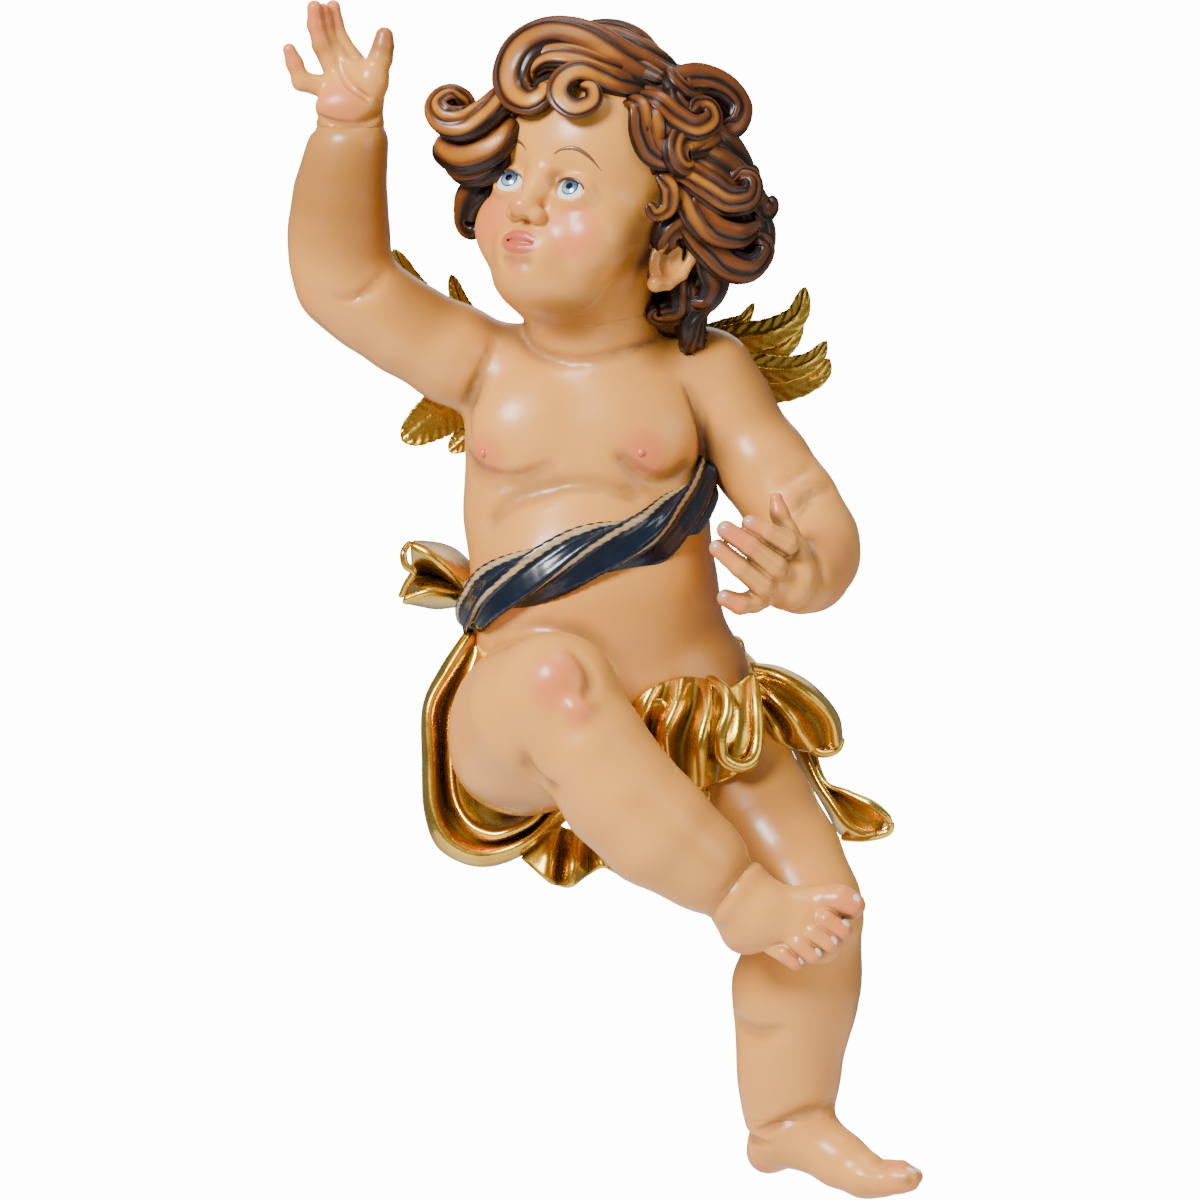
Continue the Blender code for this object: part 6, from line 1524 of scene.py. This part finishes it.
class PUTTO_OT_sash(bpy.types.Operator):
    """Wind the twisted sash round the body"""
    bl_idname = "putto.sash"
    bl_label = "Sash"

    def execute(self, context):
        shell = sash(whole_block(context.scene.putto_sizes.body_step))
        wind = sash_wind(np.arange(SASH_ROWS)[:, None] / SASH_ROWS,
                         np.arange(SASH_COLS)[None] * 2 * math.pi / SASH_COLS)
        # painted shade in the troughs between the strands
        build("sash", shell, sash_paint(), "painted_sash", FIGURE, hollow=np.clip(-np.cos(wind), 0, 1) ** 2,
              stripe=0.5 + 0.5 * np.cos(wind + 1.1))
        return {"FINISHED"}


class PUTTO_OT_wings(bpy.types.Operator):
    """Carve the two gilded wings"""
    bl_idname = "putto.wings"
    bl_label = "Wings"

    def execute(self, context):
        look = gold_leaf()
        for name, node, feathers, side in (("wing_right", "right_wing", RIGHT, -1),
                                           ("wing_left", "left_wing", LEFT, 1)):
            shells = [feather(*rib) for rib in feathers]
            s = np.linspace(0, 1, FEATHER_ROWS)[:, None]
            along, off_rib = slant(s, np.cos(np.arange(FEATHER_COLS) * 2 * math.pi / FEATHER_COLS)[None])
            # painted shade in the cut between the barbs and towards the root of each feather; the root block and
            # feather ends a middle shade
            deep = np.clip(along * 1.3 - 0.5, 0, 1) * off_rib + 0.35 * (1 - s) ** 2
            root = SEAT + (side * WING_ROOT, 0, 41)
            b = Block(root - (26, 40, 29), root + (26, 2, 29), WING_GRAIN)
            b.add(egg(root - (0, 20, 0), (17, 17, 20)), 0)
            b.cut(beyond((0, -WING_FLAT_DEPTH + WING_GAP, 0), FRONT), 0)
            verts, quads = b.skin()
            shells.append((verts, quads, NO_TRIS))
            hollow = [np.r_[np.clip(deep, 0, 1).ravel(), 0.3, 0.3]] * len(feathers) + [np.full(len(verts), 0.35)]
            build(name, merged(shells), look, "gilding", (node,), sharp=50, hollow=np.concatenate(hollow))
        return {"FINISHED"}


SENSOR = 36.0                 # width of the camera's sensor, mm
FLOOR_SIDES = 128


class PUTTO_OT_stage(bpy.types.Operator):
    """Set the pale floor, the soft lights and the camera"""
    bl_idname = "putto.stage"
    bl_label = "Stage"

    def execute(self, context):
        stage = context.scene.putto_stage
        turn = np.arange(FLOOR_SIDES) * 2 * math.pi / FLOOR_SIDES
        mesh = bpy.data.meshes.new("floor")
        rim = np.stack([stage.floor_radius * np.cos(turn), stage.floor_radius * np.sin(turn) - 0.1,
                        0 * turn - stage.floor_drop], 1)
        mesh.from_pydata(rim.tolist(), [], [list(range(FLOOR_SIDES))])
        floor = bpy.data.objects.new("floor", mesh)
        context.scene.collection.objects.link(floor)
        k = Looks("Pale floor")
        mesh.materials.append(k.set(Base_Color=k.mix(k.noise(6.0), (0.86, 0.86, 0.86), (0.90, 0.90, 0.90)),
                                    Roughness=0.7))

        middle = (np.array([0.0, -100.0, 0.0]) - SEAT) * context.scene.putto_sizes.height / BLOCK_HEIGHT
        for name, place, size, power in (("key", (-1.5, -2.2, 1.5), 1.1, stage.key),
                                         ("fill", (2.2, -1.6, 0.4), 1.6, stage.fill),
                                         ("top", (0.2, -0.4, 2.4), 1.2, stage.top),
                                         ("back", (0.6, 2.2, 1.3), 1.4, stage.back)):
            lamp = bpy.data.lights.new(name, "AREA")
            lamp.shape, lamp.size, lamp.energy = "DISK", size, power
            lamp_object = bpy.data.objects.new(name, lamp)
            lamp_object.location = place
            lamp_object.rotation_euler = (Vector(middle) - Vector(place)).to_track_quat("-Z", "Y").to_euler()
            context.scene.collection.objects.link(lamp_object)
        world = bpy.data.worlds.new("studio")
        context.scene.world = world
        world.use_nodes = True
        tree = world.node_tree
        room = tree.nodes["Background"]
        seen = tree.nodes.new("ShaderNodeBackground")
        for node, strength in ((room, stage.room), (seen, stage.backdrop)):
            node.inputs["Color"].default_value = (1, 1, 1, 1)
            node.inputs["Strength"].default_value = strength
        which = tree.nodes.new("ShaderNodeMixShader")
        rays = tree.nodes.new("ShaderNodeLightPath")
        tree.links.new(rays.outputs["Is Camera Ray"], which.inputs["Fac"])
        tree.links.new(room.outputs[0], which.inputs[1])
        tree.links.new(seen.outputs[0], which.inputs[2])
        tree.links.new(which.outputs[0], tree.nodes["World Output"].inputs["Surface"])

        lens = bpy.data.cameras.new("camera")
        lens.lens, lens.sensor_width = stage.lens, SENSOR
        camera = bpy.data.objects.new("camera", lens)
        camera.location = Vector(middle) + Vector((0, -stage.lens / SENSOR * context.scene.putto_sizes.height, 0))
        camera.rotation_euler = (math.pi / 2, 0, 0)
        context.scene.collection.objects.link(camera)
        context.scene.camera = camera
        return {"FINISHED"}


def tint(name, colour, about):
    return bpy.props.FloatVectorProperty(name=name, description=about, subtype="COLOR", size=3, min=0, max=1,
                                         default=colour)


def number(name, about, value, low, high, unit="NONE"):
    return bpy.props.FloatProperty(name=name, description=about, default=value, min=low, max=high, unit=unit)


class PuttoSizes(bpy.types.PropertyGroup):
    height: number("Height", "Fingertip to toe", 0.6, 0.3, 1.2, "LENGTH")
    body_step: number("Body grain", "Fineness of trunk and limbs, block units", 2.5, 1, 4)
    hand_step: number("Hand grain", "Fineness of hands and feet, block units", 0.95, 0.5, 3)
    head_step: number("Head grain", "Fineness of the head, block units", 0.92, 0.5, 3)
    hair_step: number("Hair grain", "Fineness of the close hair, block units", 1.8, 0.7, 3)
    cloth_step: number("Cloth grain", "Fineness of the cloth on the hips, block units", 1.5, 0.7, 3)


class PuttoTones(bpy.types.PropertyGroup):
    flesh: tint("Flesh", (0.76, 0.315, 0.058), "Ground of the flesh paint")
    blush: tint("Blush", (0.72, 0.17, 0.06), "Pink on cheeks, knees and fingertips")
    lips: tint("Lips", (0.52, 0.10, 0.05), "Coral of the lips")
    # painted shade, laid on in brown where shade falls
    painted_shade: tint("Toning", (0.26, 0.100, 0.018), "Brown laid on broadly")
    # brown glaze in the creases, which is also laid on as painted shade in them and in broad recesses
    glaze: tint("Glaze", (0.20, 0.09, 0.03), "Brown glaze in the hollows of the flesh")
    gold: tint("Gold", (0.80, 0.52, 0.085), "Burnished leaf")
    gold_deep: tint("Deep gold", (0.58, 0.34, 0.040), "Duller leaf")
    # brown glaze of the gold, laid on also as painted shade and dark reflection in its recesses
    gold_glaze_and_shade: tint("Gold glaze", (0.12, 0.060, 0.009), "Brown glaze in the hollows of the gold")
    # painted highlight on the ridges of the hair
    hair_highlight: tint("Hair ridges", (0.52, 0.20, 0.009), "Tan on the ridges")
    hair: tint("Hair", (0.15, 0.040, 0.005), "Brown glaze over the locks")
    # painted shade in the grooves of the hair
    hair_shade: tint("Hair grooves", (0.012, 0.004, 0.002), "Dark glaze in the grooves")
    sash: tint("Sash", (0.0025, 0.006, 0.014), "Dark blue")
    sash_stripe: tint("Sash stripes", (0.44, 0.29, 0.13), "Pale stripes")
    # the iris is dark above, painted shade of the lid, and lighter below
    iris: tint("Iris", (0.03, 0.07, 0.15), "Iris above")
    iris_light: tint("Iris, lower part", (0.22, 0.36, 0.55), "Iris below")
    eye_white: tint("White of the eye", (0.82, 0.80, 0.76), "Eyeball")
    brow: tint("Brows", (0.16, 0.06, 0.02), "Painted brows")
    lash: tint("Lashes", (0.05, 0.02, 0.01), "Line on the upper lid")
    nail: tint("Fingernails", (0.56, 0.30, 0.20), "Rosy grey")
    toenail: tint("Toenails", (0.78, 0.60, 0.46), "White")


class PuttoStage(bpy.types.PropertyGroup):
    floor_radius: number("Floor radius", "Round floor", 0.9, 0.3, 3, "LENGTH")
    floor_drop: number("Floor drop", "Floor below the wall seat", 0.46, 0.4, 2, "LENGTH")
    lens: number("Lens", "Focal length", 250, 50, 400, "CAMERA")
    key: number("Key light", "Power from the upper left", 190, 0, 1000, "POWER")
    fill: number("Fill light", "Power from the right", 18, 0, 1000, "POWER")
    top: number("Top light", "Power from above", 22, 0, 1000, "POWER")
    back: number("Back light", "Power from behind", 6, 0, 1000, "POWER")
    room: number("Room light", "Even light of the room", 0.28, 0, 2)
    backdrop: number("Backdrop", "Brightness behind the figure", 14, 0, 50)


class PUTTO_PT_panel(bpy.types.Panel):
    """Sizes, tones and steps of the putto"""
    bl_idname = "PUTTO_PT_panel"
    bl_label = "Putto"
    bl_space_type = "VIEW_3D"
    bl_region_type = "UI"
    bl_category = "Putto"

    def draw(self, context):
        for group in (context.scene.putto_sizes, context.scene.putto_tones, context.scene.putto_stage):
            for key in group.__annotations__:
                self.layout.prop(group, key)
        for step in STEPS:
            self.layout.operator(step.bl_idname)


STEPS = (PUTTO_OT_stage, PUTTO_OT_body, PUTTO_OT_hands_and_feet, PUTTO_OT_head, PUTTO_OT_hair, PUTTO_OT_cloth,
         PUTTO_OT_sash, PUTTO_OT_wings)
GROUPS = (("putto_sizes", PuttoSizes), ("putto_tones", PuttoTones), ("putto_stage", PuttoStage))


def register():
    for name, group in GROUPS:
        bpy.utils.register_class(group)
        setattr(bpy.types.Scene, name, bpy.props.PointerProperty(type=group))
    for kind in STEPS + (PUTTO_PT_panel,):
        bpy.utils.register_class(kind)


def unregister():
    for kind in reversed(STEPS + (PUTTO_PT_panel,)):
        bpy.utils.unregister_class(kind)
    for name, group in reversed(GROUPS):
        delattr(bpy.types.Scene, name)
        bpy.utils.unregister_class(group)


def main():
    register()
    for step in STEPS:
        getattr(bpy.ops.putto, step.bl_idname.split(".")[1])()


if __name__ == "__main__":
    main()
